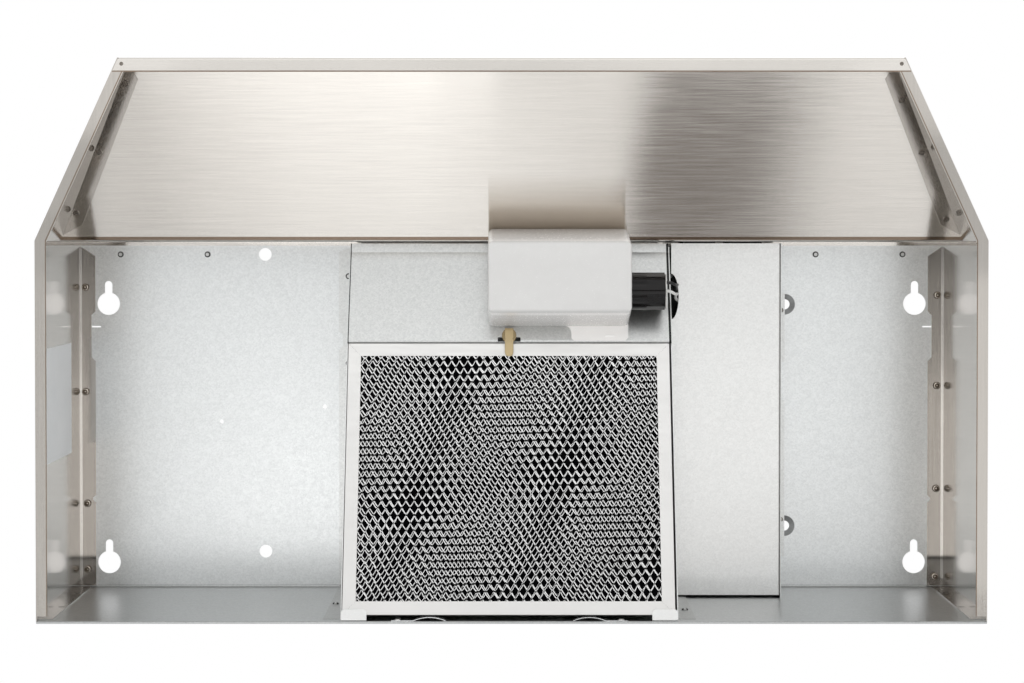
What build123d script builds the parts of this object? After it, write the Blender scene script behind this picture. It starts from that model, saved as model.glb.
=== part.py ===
"""Under-cabinet range hood, 30 inch, recirculating, as an assembly of its separate pieces.

Every piece is drawn in millimetres with X to the user's right, Y=0 on the vertical front face and
growing towards the wall, and Z=0 on the open rim and growing upwards. `keep` then moves it, so that
the origin of the finished part is the middle of the four keyholes, on the face that meets the cabinet.
"""

from build123d import *
import os
from math import atan, cos, degrees, hypot, pi, radians, sin, tan

# ------------------------------------------------------------------ shell
hood_width = 762.0  # fits a 30 inch cabinet
lamp_depth = 86.86  # from the vertical front face to the front edge of the filter
hood_height = 152.4
visor_reach = 146.0  # how far the lip stands in front of the vertical face
visor_inset = 66.5  # how much narrower the lip is than the hood, on each side
lip_height = 39.0
slope_top = 82.0  # height of the visor where it meets the vertical face
sheet = 0.8
bend = 1.6  # radius of a bend, at the middle of the sheet
lip_hem = 11.4
side_hem = 9.0
back_hem = 1.4  # how far the folded hem stands inside the back wall
back_hem_height = 8.0
hem_gap = 4.0
top_ledge = 4.8
side_flange = 13.8
visor_tab = 12.5
back_flange = 10.0
flange_chamfer = 9.0
flange_notches = [(62.7, 106.8, 3.5), (225.0, 232.0, 2.6)]  # from y, to y, depth
wall_slot = (6.0, 2.4)
wall_slot_heights = [60.0, 118.0, 144.0]
tab_shoulder = 5.0
slit = (8.0, 1.2)
slit_inset = 14.4
slit_y = 76.3
locating_hole_r = 5.6
locating_hole_x = -217.3
locating_hole_front = 12.5
locating_hole_back = 32.3  # from the wall
pilot_hole_r = 1.8
pilot_holes = [(-256.0, 160.0), (-165.0, 147.0)]
dish_r = 9.1
dish_hole_r = 4.4
dish_front = 56.5
dish_back = 54.9  # from the wall

# keyholes for the cabinet screws
keyhole_inset = 25.4  # from each side of the hood
keyhole_front = 56.0
keyhole_back = 22.7  # from the wall
keyhole_r = 9.9
keyhole_slot = 6.5
keyhole_reach = 20.0

# vents and switch openings in the vertical face
vent_rows = 4
vent_columns = 5
vent_length = 42.0
vent_height = 4.0
vent_pitch_x = 50.0
vent_pitch_z = 9.0
vent_bottom = 109.0

# ------------------------------------------------------------------ filter and its housing
filter_width = 266.7
filter_length = 222.25
filter_thickness = 9.5
filter_tilt = 16.0
filter_back_gap = 4.6  # lower back edge to the hem behind it
filter_back_z = 3.0
filter_border = 10.75
filter_skin = 0.5
mesh_thickness = 1.2
front_mesh_columns = 20
front_mesh_rows = 15
rear_mesh_columns = 10
rear_mesh_rows = 8
mesh_strand = 2.2

housing_centre = -1.7
housing_side_gap = 1.85
housing_flange = 14.7
housing_front = 5.5
wall_rise = 4.0  # lower edge of the housing walls above the face of the filter
running_gap = 0.3

lamp_plate_front = 2.8
lamp_plate_front_z = 97.0
lamp_plate_crease = 10.2
lamp_plate_crease_drop = 0.8
filter_front_gap = 1.5
housing_notch = (80.3, 97.0, 3.8)  # from y, to y, depth
housing_flange_chamfer = 5.0
deck_z = 88.0
orifice_r = 92.0
orifice_collar = 7.2
deck_flange = 8.0

bracket_width = 20.5
bracket_reach = 9.1
bracket_corner = 3.0
spring_offset = 89.8  # from the middle of the filter to the rivet of each leaf spring
spring_tail = 5.0
spring_flat = 12.6
spring_run = 26.0
spring_bow = 2.7
spring_sheet = 0.5
spring_low = 0.9
spring_high = 6.0

# ------------------------------------------------------------------ motor and fan
bridge_height = 23.2
bridge_sheet = 1.2
bridge_width = 50.0
bridge_clearance = 4.2  # from the collar to the legs
bridge_foot = 13.0
stator_gap = 9.2
stator_stack = 18.0
stator_width = 60.0
stator_front = 22.0
stator_back = 56.0
limb = 14.0
core_round = 3.0
rotor_r = 13.3
air_gap = 0.5
shaft_r = 3.175
shaft_clearance = 0.05
bearing_r = 7.0
bearing_length = 7.0
bearing_bar = 14.0
bearing_sheet = 1.6
bearing_standoff = 4.5
coil_width = 30.0
coil_wrap = 7.0
motor_screw_r = 2.0
motor_screw_head_r = 3.6
motor_screw_head = 2.0
motor_screw_spacing = 50.0
motor_spacer_r = 4.0

fan_blades = 5
fan_r = 88.0
hub_r = 14.0
blade_root = 26.0
blade_tip = 50.0
blade_pitch_root = 34.0
blade_pitch_tip = 24.0
blade_thickness = 2.2
hub_height = 20.0
hub_clip_r = 6.0
hub_clip_height = 4.0
shaft_tail = 1.5

# ------------------------------------------------------------------ lamp
lens_left = -19.3
lens_right = 98.0
lens_step = 50.0  # right of this line the lens reaches back to the filter
lens_bottom = 24.0
lens_bottom_front = 1.3
lens_bottom_back = 57.8
lens_front_reach = 9.7
lens_back = 72.0
lens_wall = 1.6
lens_round = 5.0
lens_ear = 8.0

socket_y = 42.0
socket_z = 52.0
socket_r = 15.5
socket_wall = 1.6
socket_left = 90.0
socket_right = 126.4
socket_end = 6.0
socket_flats = 8
thread_shell = 0.5
bulb_clearance = 0.3
bulb_r = 22.5
bulb_length = 78.0
bulb_seat = 1.0
bulb_base_length = 24.0
thread_pitch = 3.6
thread_depth = 0.7
socket_bracket_half = 14.0
socket_bracket_foot = 12.0

# ------------------------------------------------------------------ wiring compartment and switches
box_left_gap = 2.5
cover_width = 93.8
cover_z = 105.0
cover_front = 2.6
cover_back_gap = 1.9
cover_flange = 10.0
cover_notch_y = 48.2
cover_notch_half = 19.5
cover_notch_depth = 6.4
box_flange = 9.6
box_ledge = 7.0
knockout_r = 11.1
knockout_cut = 0.4
knockout_x = 185.0
knockout_y = 210.0
knockout_bridge = 3.0
box_tab_front = (46.8, 107.4)  # from y, to y
box_tab_back = (141.2, 27.0)  # from y, to the back wall
cover_nick_y = 149.0
cover_nick = 2.2
cover_screw_y = (60.0, 240.0)
ground_x = 212.0
ground_y = 240.0
ground_head_r = 4.4

light_switch_x = 163.0
fan_switch_x = 203.0
switch_z = 128.0
bezel_width = 30.0
bezel_height = 17.0
bezel_proud = 2.0
switch_width = 27.0
switch_height = 13.8
switch_depth = 22.0
rocker_r = 12.0
rocker_gap = 0.3
rocker_height = 10.0
rocker_pivot_y = 4.0
rocker_rise = 7.4
rocker_valley = 5.4
rocker_tilt = 8.0
trunnion_r = 1.5
trunnion_length = 1.2
terminal = (0.8, 8.0, 6.3)  # thickness, length, width
terminal_offset = 8.0

# ------------------------------------------------------------------ small pieces
clip_width = 12.0
clip_finger = 7.0
clip_thickness = 3.2
clip_start = 73.3
clip_reach = 9.6
clip_x = -2.0
clip_slot = 19.0
clip_stem = 1.8
clip_stem_width = 9.0
label_size = (0.3, 95.0, 84.0)
label_y = 136.0
label_z = 73.5
lead_r = 1.25
lead_centre = 4.0  # in front of the socket's axis
lead_spacing = 7.0  # between the two lamp leads where they leave the socket
lead_hole_behind_fan = 35.0
lead_hole_z = 128.0
bushing_r = 6.5
bushing_flange = 1.6
bushing_clearance = 0.8
wire_nut_r = 6.5
wire_nut_length = 22.0
rivet_head_r = 2.6
rivet_head = 1.1
rivet_r = 1.6
screw_head_r = 3.3
screw_head = 2.2
screw_r = 2.0
flange_screw_places = [  # side, distance from the side, y
    (-1, 5.1, 41.5), (-1, 5.1, 133.6), (-1, 6.4, 232.4), (1, 5.4, 48.5), (1, 5.8, 128.2), (1, 6.1, 219.2),
]
back_screw_places = [(-1, 6.4, 16.7), (1, 7.1, 10.3)]  # side, distance from the side, distance from the wall
visor_rivet_places = [  # side, y, distance from the side wall
    (-1, -23.0, 4.5), (-1, -73.7, 4.0), (-1, -129.0, 4.5),
    (1, -18.1, 7.0), (1, -73.1, 6.3), (1, -115.8, 6.4),
]
corner_rivet_inset = 2.4
corner_rivet_back = 5.0
housing_rivet_inset = 6.0
housing_rivet_y = (31.7, 108.5)
back_rivet_places = [(-1, 11.0, 72.5), (1, 10.0, 48.5)]  # side, distance from the housing, height
clinch_insets = (36.2, 112.8)  # from each side of the hood
clinch_y = 12.5

# ------------------------------------------------------------------ derived values
tilt = radians(filter_tilt)
filter_span = filter_length * cos(tilt)
body_depth = lamp_depth + filter_span + filter_back_gap + back_hem + sheet  # from the front face to the wall
half_width = hood_width / 2
inner_bend = bend - sheet / 2
back_inner = body_depth - sheet
hem_face = back_inner - back_hem
pan_under = hood_height - sheet
flange_under = pan_under - sheet
mitre = atan(visor_inset / visor_reach)
slope = (slope_top - lip_height) / visor_reach
slope_angle = atan(slope)
keyhole_span_x = hood_width - 2 * keyhole_inset
keyhole_span_y = body_depth - keyhole_front - keyhole_back
keyhole_mid = keyhole_front + keyhole_span_y / 2

filter_back = hem_face - filter_back_gap
filter_front = lamp_depth
filter_front_z = filter_back_z + filter_length * sin(tilt)
housing_half = filter_width / 2 + housing_side_gap
wall_left = housing_centre - housing_half  # inner face of the left housing wall
wall_right = housing_centre + housing_half
plate_back = filter_front - filter_front_gap
plate_back_z = filter_front_z - sheet / 2
crease_z = lamp_plate_front_z - lamp_plate_crease_drop
plate_slope = (crease_z - plate_back_z) / (plate_back - lamp_plate_crease)
plate_angle = atan(plate_slope)
deck_top = deck_z + sheet
fan_y = (filter_front + filter_back) / 2
box_left = wall_right + sheet
cover_left = box_left + box_left_gap
cover_right = cover_left + cover_width
box_right = cover_right + sheet
cover_top = cover_z + sheet
fan_axis = (housing_centre, fan_y)
bridge_top = deck_top + bridge_height
stator_low = bridge_top + stator_gap
stator_high = stator_low + stator_stack
motor_screw_x = (housing_centre - motor_screw_spacing / 2, housing_centre + motor_screw_spacing / 2)
stem_y = plate_back - clip_stem - sheet
lens_deep = plate_back - lens_wall
lens_step_y = lamp_plate_front
lens_ears = (
    (lens_left + 2 * lens_ear, lens_back - 3 * lens_wall),
    (lens_right - 2 * lens_ear, lens_deep - 3 * lens_wall),
)
thread_r = socket_r - socket_wall - thread_shell - bulb_clearance
base_right = socket_right - socket_end - 2 * bulb_seat
base_left = base_right - bulb_base_length
bulb_left = base_right - bulb_length
lead_y = (socket_y - lead_centre - lead_spacing / 2, socket_y - lead_centre + lead_spacing / 2)
lead_hole_y = fan_y + lead_hole_behind_fan


# ------------------------------------------------------------------ helpers
def keep(name, *solids):
    """Moves a piece to the part's own origin and writes it under its node name."""
    piece = solids[0] if len(solids) == 1 else Compound(children=list(solids))
    export_step(Pos(0, -keyhole_mid, -hood_height) * piece, f"parts/{name}.step")


def block(x, y, z):
    """A block between the two values given for each axis."""
    size = [high - low for low, high in (x, y, z)]
    middle = [(low + high) / 2 for low, high in (x, y, z)]
    return Pos(*middle) * Box(*size)


def bent(corners, left, right, thickness=sheet, radius=bend):
    """A sheet bent along lines that run in X. The corners are (y, z) points of its middle."""
    line = FilletPolyline(*corners, radius=radius) if len(corners) > 2 else Line(*corners)
    return Pos(left, 0, 0) * extrude(Plane.YZ * trace(line, thickness), right - left)


def upright(corners, front, back, thickness=sheet, radius=bend):
    """A sheet bent along lines that run in Y. The corners are (x, z) points of its middle."""
    line = FilletPolyline(*corners, radius=radius)
    return Pos(0, back, 0) * extrude(Plane.XZ * trace(line, thickness), back - front)


def slab(outline, low, high):
    """A flat plate with the outline given as (x, y) points."""
    return Pos(0, 0, low) * extrude(make_face(Polyline(*outline, close=True)), high - low)


def side_prism(outline, left, right):
    """A block whose outline is given as (y, z) points."""
    face = make_face(Polyline(*outline, close=True))
    return Pos(left, 0, 0) * extrude(Plane.YZ * face, right - left)


def half_at(y, inset):
    """Half the hood's width at depth y, measured `inset` inside its outer face."""
    return min(half_width - inset, half_width - inset / cos(mitre) + y * tan(mitre))


def side_line(inset, front, back):
    """Plan of the right side wall, `inset` inside its outer face, from back to front."""
    corner = inset * tan(mitre / 2)
    return [(half_width - inset, back), (half_width - inset, corner), (half_at(front, inset), front)]


def visor_z(y, drop=0.0):
    """Height of the middle of the visor's slope, or of a surface `drop` under it."""
    return slope_top + (y - sheet / 2) * slope - drop / cos(slope_angle)


def plate_z(y, drop=0.0):
    """Height of the middle of the lamp plate, or of a surface `drop` under it."""
    return crease_z - (y - lamp_plate_crease) * plate_slope - drop / cos(plate_angle)


def filter_z(y, drop=0.0):
    """Height of the filter's lower face, or of a surface `drop` under it."""
    return filter_front_z - (y - filter_front) * tan(tilt) - drop / cos(tilt)


def fastener(place, head_r, head, shank_r, shank):
    """A domed head on its shank. The shank points along +Z of its place, the head hangs below."""
    body = Pos(0, 0, -head / 2) * Cylinder(head_r, head)
    body = chamfer(body.faces().sort_by(Axis.Z)[0].edges(), head * 0.45)
    return place * (body + Pos(0, 0, shank / 2) * Cylinder(shank_r, shank))


def shank_holes(places, shank_r, depth):
    """The holes that a group of fasteners needs in the sheets that they join."""
    return [place * Pos(0, 0, depth / 2) * Cylinder(shank_r, depth + 2 * sheet) for place in places]


def tube(points, radius):
    """A wire along straight runs joined by arcs as large as the runs allow."""
    route = [Vector(*p) for p in points]
    arcs = []
    for before, here, after in zip(route, route[1:], route[2:]):
        turn = radians((here - before).get_angle(after - here))
        shorter = min((here - before).length, (after - here).length)
        arcs.append(0.45 * shorter / tan(turn / 2))
    path = FilletPolyline(*route, radius=arcs)
    section = Plane(origin=path @ 0, z_dir=path % 0) * Circle(radius)
    print("wire radii", [round(arc, 1) for arc in arcs], "length", round(path.length, 1))
    return sweep(section, path=path)


os.makedirs("parts", exist_ok=True)


# ------------------------------------------------------------------ fasteners of the sheet metal
flange_screws = [
    Pos(side * (half_width - inset), y, flange_under)
    for side, inset, y in flange_screw_places
    + [(side, inset, body_depth - away) for side, inset, away in back_screw_places]
]
visor_rivets = [
    Pos(side * (half_at(y, sheet) - inset), y, visor_z(y, 1.5 * sheet)) * Rot(degrees(slope_angle), 0, 0)
    for side, y, inset in visor_rivet_places
]
corner_rivet_x = half_at(-visor_reach, sheet) - corner_rivet_inset
corner_rivets = [
    Pos(side * corner_rivet_x, corner_rivet_back - visor_reach, 2 * sheet) * Rot(180, 0, 0)
    for side in (-1, 1)
]
housing_rivets = [
    Pos(x, y, flange_under)
    for x in (wall_left - sheet - housing_rivet_inset, wall_right + sheet + housing_rivet_inset)
    for y in housing_rivet_y
]
back_rivets = [
    Pos(housing_centre + side * (housing_half + away), back_inner - sheet, z) * Rot(-90, 0, 0)
    for side, away, z in back_rivet_places
]
front_clinches = [
    Pos(side * (half_width - inset), clinch_y, pan_under) for side in (-1, 1) for inset in clinch_insets
]
spring_rivets = [
    Pos(housing_centre + side * spring_offset, hem_face - spring_sheet, (spring_low + spring_high) / 2)
    * Rot(-90, 0, 0)
    for side in (-1, 1)
]
ground_screw = Pos(ground_x, ground_y, pan_under)
cover_screws = [Pos(box_right, y, cover_z + cover_flange / 2) * Rot(0, -90, 0) for y in cover_screw_y]
bracket_rivets = [
    Pos(socket_right - socket_bracket_foot / 2, y, plate_z(y, 1.5 * sheet)) * Rot(-degrees(plate_angle), 0, 0)
    for y in (socket_y - socket_bracket_half / 2, socket_y + socket_bracket_half / 2)
]


def rivets(places, depth):
    return [fastener(place, rivet_head_r, rivet_head, rivet_r, depth) for place in places]


keep("flange_screws", *[fastener(p, screw_head_r, screw_head, screw_r, 2 * sheet) for p in flange_screws])
keep("visor_rivets", *rivets(visor_rivets + corner_rivets, 2 * sheet))
keep("housing_rivets", *rivets(housing_rivets + back_rivets, 2 * sheet))
keep("front_clinches", *rivets(front_clinches, sheet))


# ------------------------------------------------------------------ front panel
def front_panel():
    """Ledge under the pan, vertical face, sloping visor, lip and the hem turned in under it."""
    ledge = flange_under + sheet / 2
    lip = -visor_reach + sheet / 2
    middle = [
        (top_ledge, ledge),
        (sheet / 2, ledge),
        (sheet / 2, slope_top),
        (lip, lip_height),
        (lip, sheet / 2),
        (-visor_reach + lip_hem, sheet / 2),
    ]
    right = side_line(sheet, -visor_reach, top_ledge)
    plan = right + [(-x, y) for x, y in reversed(right)]
    blank = slab(plan, 0, hood_height)
    blank = fillet(blank.edges().filter_by(Axis.Z).group_by(Axis.Y)[1], inner_bend)
    panel = bent(middle, -half_width, half_width) & blank
    vent = Plane.XZ * SlotOverall(vent_length, vent_height)
    for column in range(vent_columns):
        for row in range(vent_rows):
            x = housing_centre + (column - (vent_columns - 1) / 2) * vent_pitch_x
            panel -= Pos(x, 0, vent_bottom + row * vent_pitch_z) * extrude(vent, 2 * sheet, both=True)
    for x in (light_switch_x, fan_switch_x):
        panel -= Pos(x, 0, switch_z) * Box(switch_width, 4 * sheet, switch_height)
    panel -= shank_holes(visor_rivets, rivet_r, 2 * sheet)
    panel -= shank_holes(corner_rivets, rivet_r, 2 * sheet)
    return panel


keep("front_panel", front_panel())


# ------------------------------------------------------------------ side panels
# What meets the pan from inside leaves its rounded bend free.
under_the_back_bend = block(
    (-hood_width, hood_width),
    (back_inner - inner_bend, body_depth),
    (pan_under - inner_bend, hood_height),
)


def side_panel():
    """The right side wall, with its rim hem, its flanges and the tab under the visor."""
    line = FilletPolyline(*side_line(sheet / 2, -visor_reach - bend, back_inner), radius=bend)
    panel = extrude(trace(line, sheet), pan_under)
    panel &= block((0, half_width), (-visor_reach, back_inner), (0, pan_under))
    front = -visor_reach - bend
    over_visor = [(y, visor_z(y, -sheet / 2)) for y in (0, front)] + [(y, hood_height) for y in (front, 0)]
    panel -= side_prism(over_visor, 0, hood_width)
    panel -= block((0, hood_width), (hem_face, body_depth), (0, back_hem_height))
    hem_front = -visor_reach + lip_hem
    hem_back = hem_face - hem_gap
    hem = side_line(sheet / 2, hem_front, hem_back) + side_line(side_hem, hem_front, hem_back)[::-1]
    panel += slab(hem, 0, sheet)
    lap = (sheet + bend - visor_reach, hem_front + lip_hem / 2)
    corner = [(half_at(y, sheet / 2), y) for y in lap] + [(half_at(y, side_hem), y) for y in lap[::-1]]
    panel += slab(corner, sheet, 2 * sheet)

    edge = half_width - side_flange
    flange_front = top_ledge + running_gap
    flange = [(half_width - sheet / 2, flange_front), (edge, flange_front + flange_chamfer)]
    for low, high, depth in flange_notches:
        ramp = min(depth, (high - low) / 2)
        flange += [(edge, low), (edge + depth, low + ramp), (edge + depth, high - ramp), (edge, high)]
    flange += [(edge, back_inner), (half_width - sheet / 2, back_inner)]
    panel += slab(list(dict.fromkeys(flange)), flange_under, pan_under)

    tab_front = -visor_reach + flange_chamfer
    tab_back = -flange_chamfer / 2
    inner = sheet / 2 + visor_tab
    tab = [
        (half_at(tab_front, sheet / 2), tab_front),
        (half_at(tab_front, inner - tab_shoulder), tab_front),
        (half_at(tab_front + tab_shoulder, inner), tab_front + tab_shoulder),
        (half_at(tab_back - flange_chamfer, inner), tab_back - flange_chamfer),
        (half_at(tab_back, sheet), tab_back),
    ]
    under = bent([(-visor_reach, visor_z(-visor_reach, sheet)), (0, visor_z(0, sheet))], 0, half_width)
    panel += under & slab(tab, 0, hood_height)

    panel += block(
        (half_width - back_flange, half_width - sheet / 2),
        (back_inner - sheet, back_inner),
        (back_hem_height + hem_gap, pan_under),
    )
    slot = Plane.XZ * SlotOverall(*wall_slot)
    for z in wall_slot_heights:
        panel -= Pos(half_width - back_flange / 2 - sheet, back_inner, z) * extrude(slot, sheet)
    return panel - under_the_back_bend


right_side = side_panel()
left_side = mirror(right_side, Plane.YZ)
for name, panel, side in (("left_side_panel", left_side, -1), ("right_side_panel", right_side, 1)):
    screws = [place for place in flange_screws if place.position.X * side > 0]
    joints = [place for place in visor_rivets + corner_rivets if place.position.X * side > 0]
    keep(name, panel - shank_holes(screws, screw_r, 2 * sheet) - shank_holes(joints, rivet_r, 2 * sheet))

label = Box(*label_size)
keep("label_plate", Pos(-half_width + sheet + label_size[0] / 2, label_y, label_z) * label)


# ------------------------------------------------------------------ top and back pan
def knockout():
    """A ring cut that leaves the slug of a cable entry hanging on two bridges."""
    ring = Circle(knockout_r) - Circle(knockout_r - knockout_cut)
    return ring - Rectangle(3 * knockout_r, knockout_bridge)


def top_back_pan():
    """Top and back in one bent sheet, with a folded hem at the rim."""
    top = hood_height - sheet / 2
    middle = [
        (0, top),
        (body_depth - sheet / 2, top),
        (body_depth - sheet / 2, sheet / 2),
        (hem_face + sheet / 2, sheet / 2),
        (hem_face + sheet / 2, back_hem_height),
    ]
    radii = [bend, back_hem / 2, back_hem / 2 - 0.05]
    line = FilletPolyline(*middle, radius=radii)
    pan = Pos(-half_width, 0, 0) * extrude(Plane.YZ * trace(line, sheet), hood_width)
    drop = keyhole_reach - keyhole_slot / 2
    keyhole = Circle(keyhole_r) + Pos(0, -drop / 2) * Rectangle(keyhole_slot, drop)
    keyhole += Pos(0, -drop) * Circle(keyhole_slot / 2)
    cutter = extrude(keyhole, 3 * sheet)
    for x in (-keyhole_span_x / 2, keyhole_span_x / 2):
        for y in (keyhole_front, keyhole_front + keyhole_span_y):
            pan -= Pos(x, y, pan_under - sheet) * cutter
    for y in (locating_hole_front, body_depth - locating_hole_back):
        pan -= Pos(locating_hole_x, y, hood_height) * Cylinder(locating_hole_r, 4 * sheet)
    for x, y in pilot_holes:
        pan -= Pos(x, y, hood_height) * Cylinder(pilot_hole_r, 4 * sheet)
    for y in (dish_front, body_depth - dish_back):
        pan -= Pos(box_right + box_flange, y, hood_height) * Cylinder(dish_hole_r, 4 * sheet)
        pan -= Pos(box_right + box_flange, y, pan_under + sheet / 2) * Cone(dish_r, dish_hole_r, sheet)
    for side in (-1, 1):
        pan -= Pos(side * (half_width - slit_inset), slit_y, pan_under) * Box(*slit, 4 * sheet)
    pan -= Pos(knockout_x, knockout_y, pan_under - sheet) * extrude(knockout(), 3 * sheet)
    pan -= Pos(knockout_x, body_depth + sheet, switch_z) * extrude(Plane.XZ * knockout(), 3 * sheet)
    pan -= shank_holes(flange_screws + [ground_screw], screw_r, 2 * sheet)
    pan -= shank_holes(housing_rivets + front_clinches + back_rivets, rivet_r, 2 * sheet)
    pan -= shank_holes(spring_rivets, rivet_r, 3 * sheet)
    return pan


keep("top_back_pan", top_back_pan())


# ------------------------------------------------------------------ fan housing
def housing_wall(face, out):
    """One side wall of the fan housing. `face` is its inner face, `out` points away from the fan."""
    middle = face + out * sheet / 2
    flange_z = flange_under + sheet / 2
    section = [(middle, 0), (middle, flange_z), (face + out * (sheet + housing_flange), flange_z)]
    wall = upright(section, housing_front, back_inner)
    keep_above = [
        (housing_front, crease_z),
        (lamp_plate_crease, plate_z(lamp_plate_crease, sheet / 2)),
        (plate_back, plate_z(plate_back, sheet / 2)),
        (plate_back, filter_z(plate_back) + wall_rise),
        (hem_face, filter_z(hem_face) + wall_rise),
        (hem_face, back_hem_height + sheet),
        (back_inner, back_hem_height + sheet),
        (back_inner, hood_height),
        (housing_front, hood_height),
    ]
    wall &= side_prism(keep_above, -hood_width, 2 * hood_width)
    outer = face + out * (sheet + housing_flange)
    corner = [
        (outer, housing_front),
        (outer, housing_front + housing_flange_chamfer),
        (face + out * 2 * sheet, housing_front),
    ]
    low, high, depth = housing_notch
    floor = outer - out * depth
    notch = [(outer, low), (floor, low + depth), (floor, high - depth), (outer, high)]
    for cut in (corner, notch):
        wall -= slab(cut, flange_under - sheet, pan_under)
    flange = sorted((face + out * sheet, outer))
    wall += block(flange, (back_inner - sheet, back_inner), (back_hem_height + hem_gap, pan_under))
    wall -= shank_holes(housing_rivets + back_rivets, rivet_r, 2 * sheet)
    return wall - under_the_back_bend


left_wall = housing_wall(wall_left, -1)
right_wall = housing_wall(wall_right, 1)
lead_hole = Pos(wall_right + sheet / 2, lead_hole_y, lead_hole_z) * Rot(0, 90, 0)
right_wall -= lead_hole * Cylinder(bushing_r, 4 * sheet)
right_wall += block(
    (wall_right + sheet / 2, box_left + box_ledge),
    (plate_back, hem_face - 2 * hem_gap),
    (cover_top, cover_top + sheet),
)
keep("housing_left_wall", left_wall)
keep("housing_right_wall", right_wall)

grommet = Cylinder(bushing_r, sheet) + [
    Pos(0, 0, side * (sheet + bushing_flange) / 2) * Cylinder(bushing_r + bushing_flange, bushing_flange)
    for side in (-1, 1)
]
keep("lead_bushing", lead_hole * (grommet - Cylinder(2 * lead_r + bushing_clearance, bushing_r)))


# ------------------------------------------------------------------ lamp plate and fan deck
def lamp_plate():
    """Sloping plate in front of the filter, turned up behind to carry the deck."""
    middle = [
        (lamp_plate_front, lamp_plate_front_z),
        (lamp_plate_crease, crease_z),
        (plate_back, plate_back_z),
        (plate_back, deck_z),
    ]
    plate = bent(middle, wall_left, wall_right)
    plate -= block(
        (clip_x - clip_slot / 2, clip_x + clip_slot / 2),
        (stem_y - clip_stem, stem_y + clip_stem),
        (plate_back_z - clip_slot, deck_z - 2 * bend),
    )
    for x, y in lens_ears:
        half = lens_ear / 2 + running_gap
        plate -= block(
            (x - half, x + half),
            (y - running_gap, y + lens_wall + running_gap),
            (plate_z(y) - 3 * sheet, plate_z(y) + 3 * sheet),
        )
    plate -= shank_holes(bracket_rivets, rivet_r, 2 * sheet)
    return plate


def fan_deck():
    """Plate with the fan's orifice, its rolled collar and a flange up each housing wall."""
    middle = deck_z + sheet / 2
    top = middle + deck_flange
    section = [
        (wall_left + sheet / 2, top),
        (wall_left + sheet / 2, middle),
        (wall_right - sheet / 2, middle),
        (wall_right - sheet / 2, top),
    ]
    deck = upright(section, plate_back - sheet / 2, back_inner)
    deck += Pos(*fan_axis, deck_top + orifice_collar / 2) * Cylinder(orifice_r + sheet, orifice_collar)
    return deck - Pos(*fan_axis, deck_z) * Cylinder(orifice_r, 4 * orifice_collar)


keep("lamp_plate", lamp_plate())
keep("fan_deck", fan_deck())


# ------------------------------------------------------------------ motor
def motor_bracket():
    """Bridge over the orifice that carries the motor, standing on the deck on two feet."""
    leg = orifice_r + sheet + bridge_clearance
    foot = deck_top + bridge_sheet / 2
    top = bridge_top - bridge_sheet / 2
    half = [(leg + bridge_foot, foot), (leg, foot), (leg, top)]
    section = [(fan_axis[0] - x, z) for x, z in half] + [(fan_axis[0] + x, z) for x, z in reversed(half)]
    bridge = upright(section, fan_y - bridge_width / 2, fan_y + bridge_width / 2, bridge_sheet)
    bridge -= Pos(*fan_axis, bridge_top) * Cylinder(bearing_r + bridge_clearance, 4 * bridge_sheet)
    for x in motor_screw_x:
        bridge -= Pos(x, fan_y, bridge_top) * Cylinder(motor_screw_r, 4 * bridge_sheet)
    return bridge


def stator():
    """Laminated core: the bore for the rotor in front, and the limb for the coil behind."""
    x = fan_axis[0]
    core = block(
        (x - stator_width / 2, x + stator_width / 2),
        (fan_y - stator_front, fan_y + stator_back),
        (stator_low, stator_high),
    )
    window = stator_width / 2 - limb
    window_y = (fan_y + rotor_r + limb / 2, fan_y + stator_back - limb)
    core -= block((x - window, x + window), window_y, (0, hood_height))
    core -= Pos(*fan_axis, stator_low) * Cylinder(rotor_r + air_gap, 4 * stator_stack)
    for x in motor_screw_x:
        core -= Pos(x, fan_y, stator_low) * Cylinder(motor_screw_r, 4 * stator_stack)
    return fillet(core.edges().filter_by(Axis.Z).sort_by(Axis.Y)[-2:], core_round)


def coil():
    """Winding on the rear limb of the core."""
    x = fan_axis[0]
    limb_y = (fan_y + stator_back - limb, fan_y + stator_back)
    outer = block(
        (x - coil_width / 2, x + coil_width / 2),
        (limb_y[0] - coil_wrap, limb_y[1] + coil_wrap),
        (stator_low - coil_wrap, stator_high + coil_wrap),
    )
    outer = fillet(outer.edges().filter_by(Axis.X), coil_wrap * 0.8)
    return outer - block((x - coil_width, x + coil_width), limb_y, (stator_low, stator_high))


def bearing_bracket(face, away):
    """Bar across the core with the bearing in its middle. `face` is the core's face, `away` is +1 up."""
    seat = face + away * bearing_sheet / 2
    raised = seat + away * bearing_standoff
    half = [(stator_width / 2, seat), (bearing_bar + bearing_standoff, seat), (bearing_bar, raised)]
    section = [(fan_axis[0] - x, z) for x, z in half] + [(fan_axis[0] + x, z) for x, z in reversed(half)]
    bar = upright(section, fan_y - bearing_bar / 2, fan_y + bearing_bar / 2, bearing_sheet, bearing_sheet)
    bar += Pos(*fan_axis, raised) * Cylinder(bearing_r, bearing_length)
    bar -= Pos(*fan_axis, raised) * Cylinder(shaft_r + shaft_clearance, 2 * bearing_length)
    for x in motor_screw_x:
        bar -= Pos(x, fan_y, seat) * Cylinder(motor_screw_r, 4 * bearing_sheet)
    return bar


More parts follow.
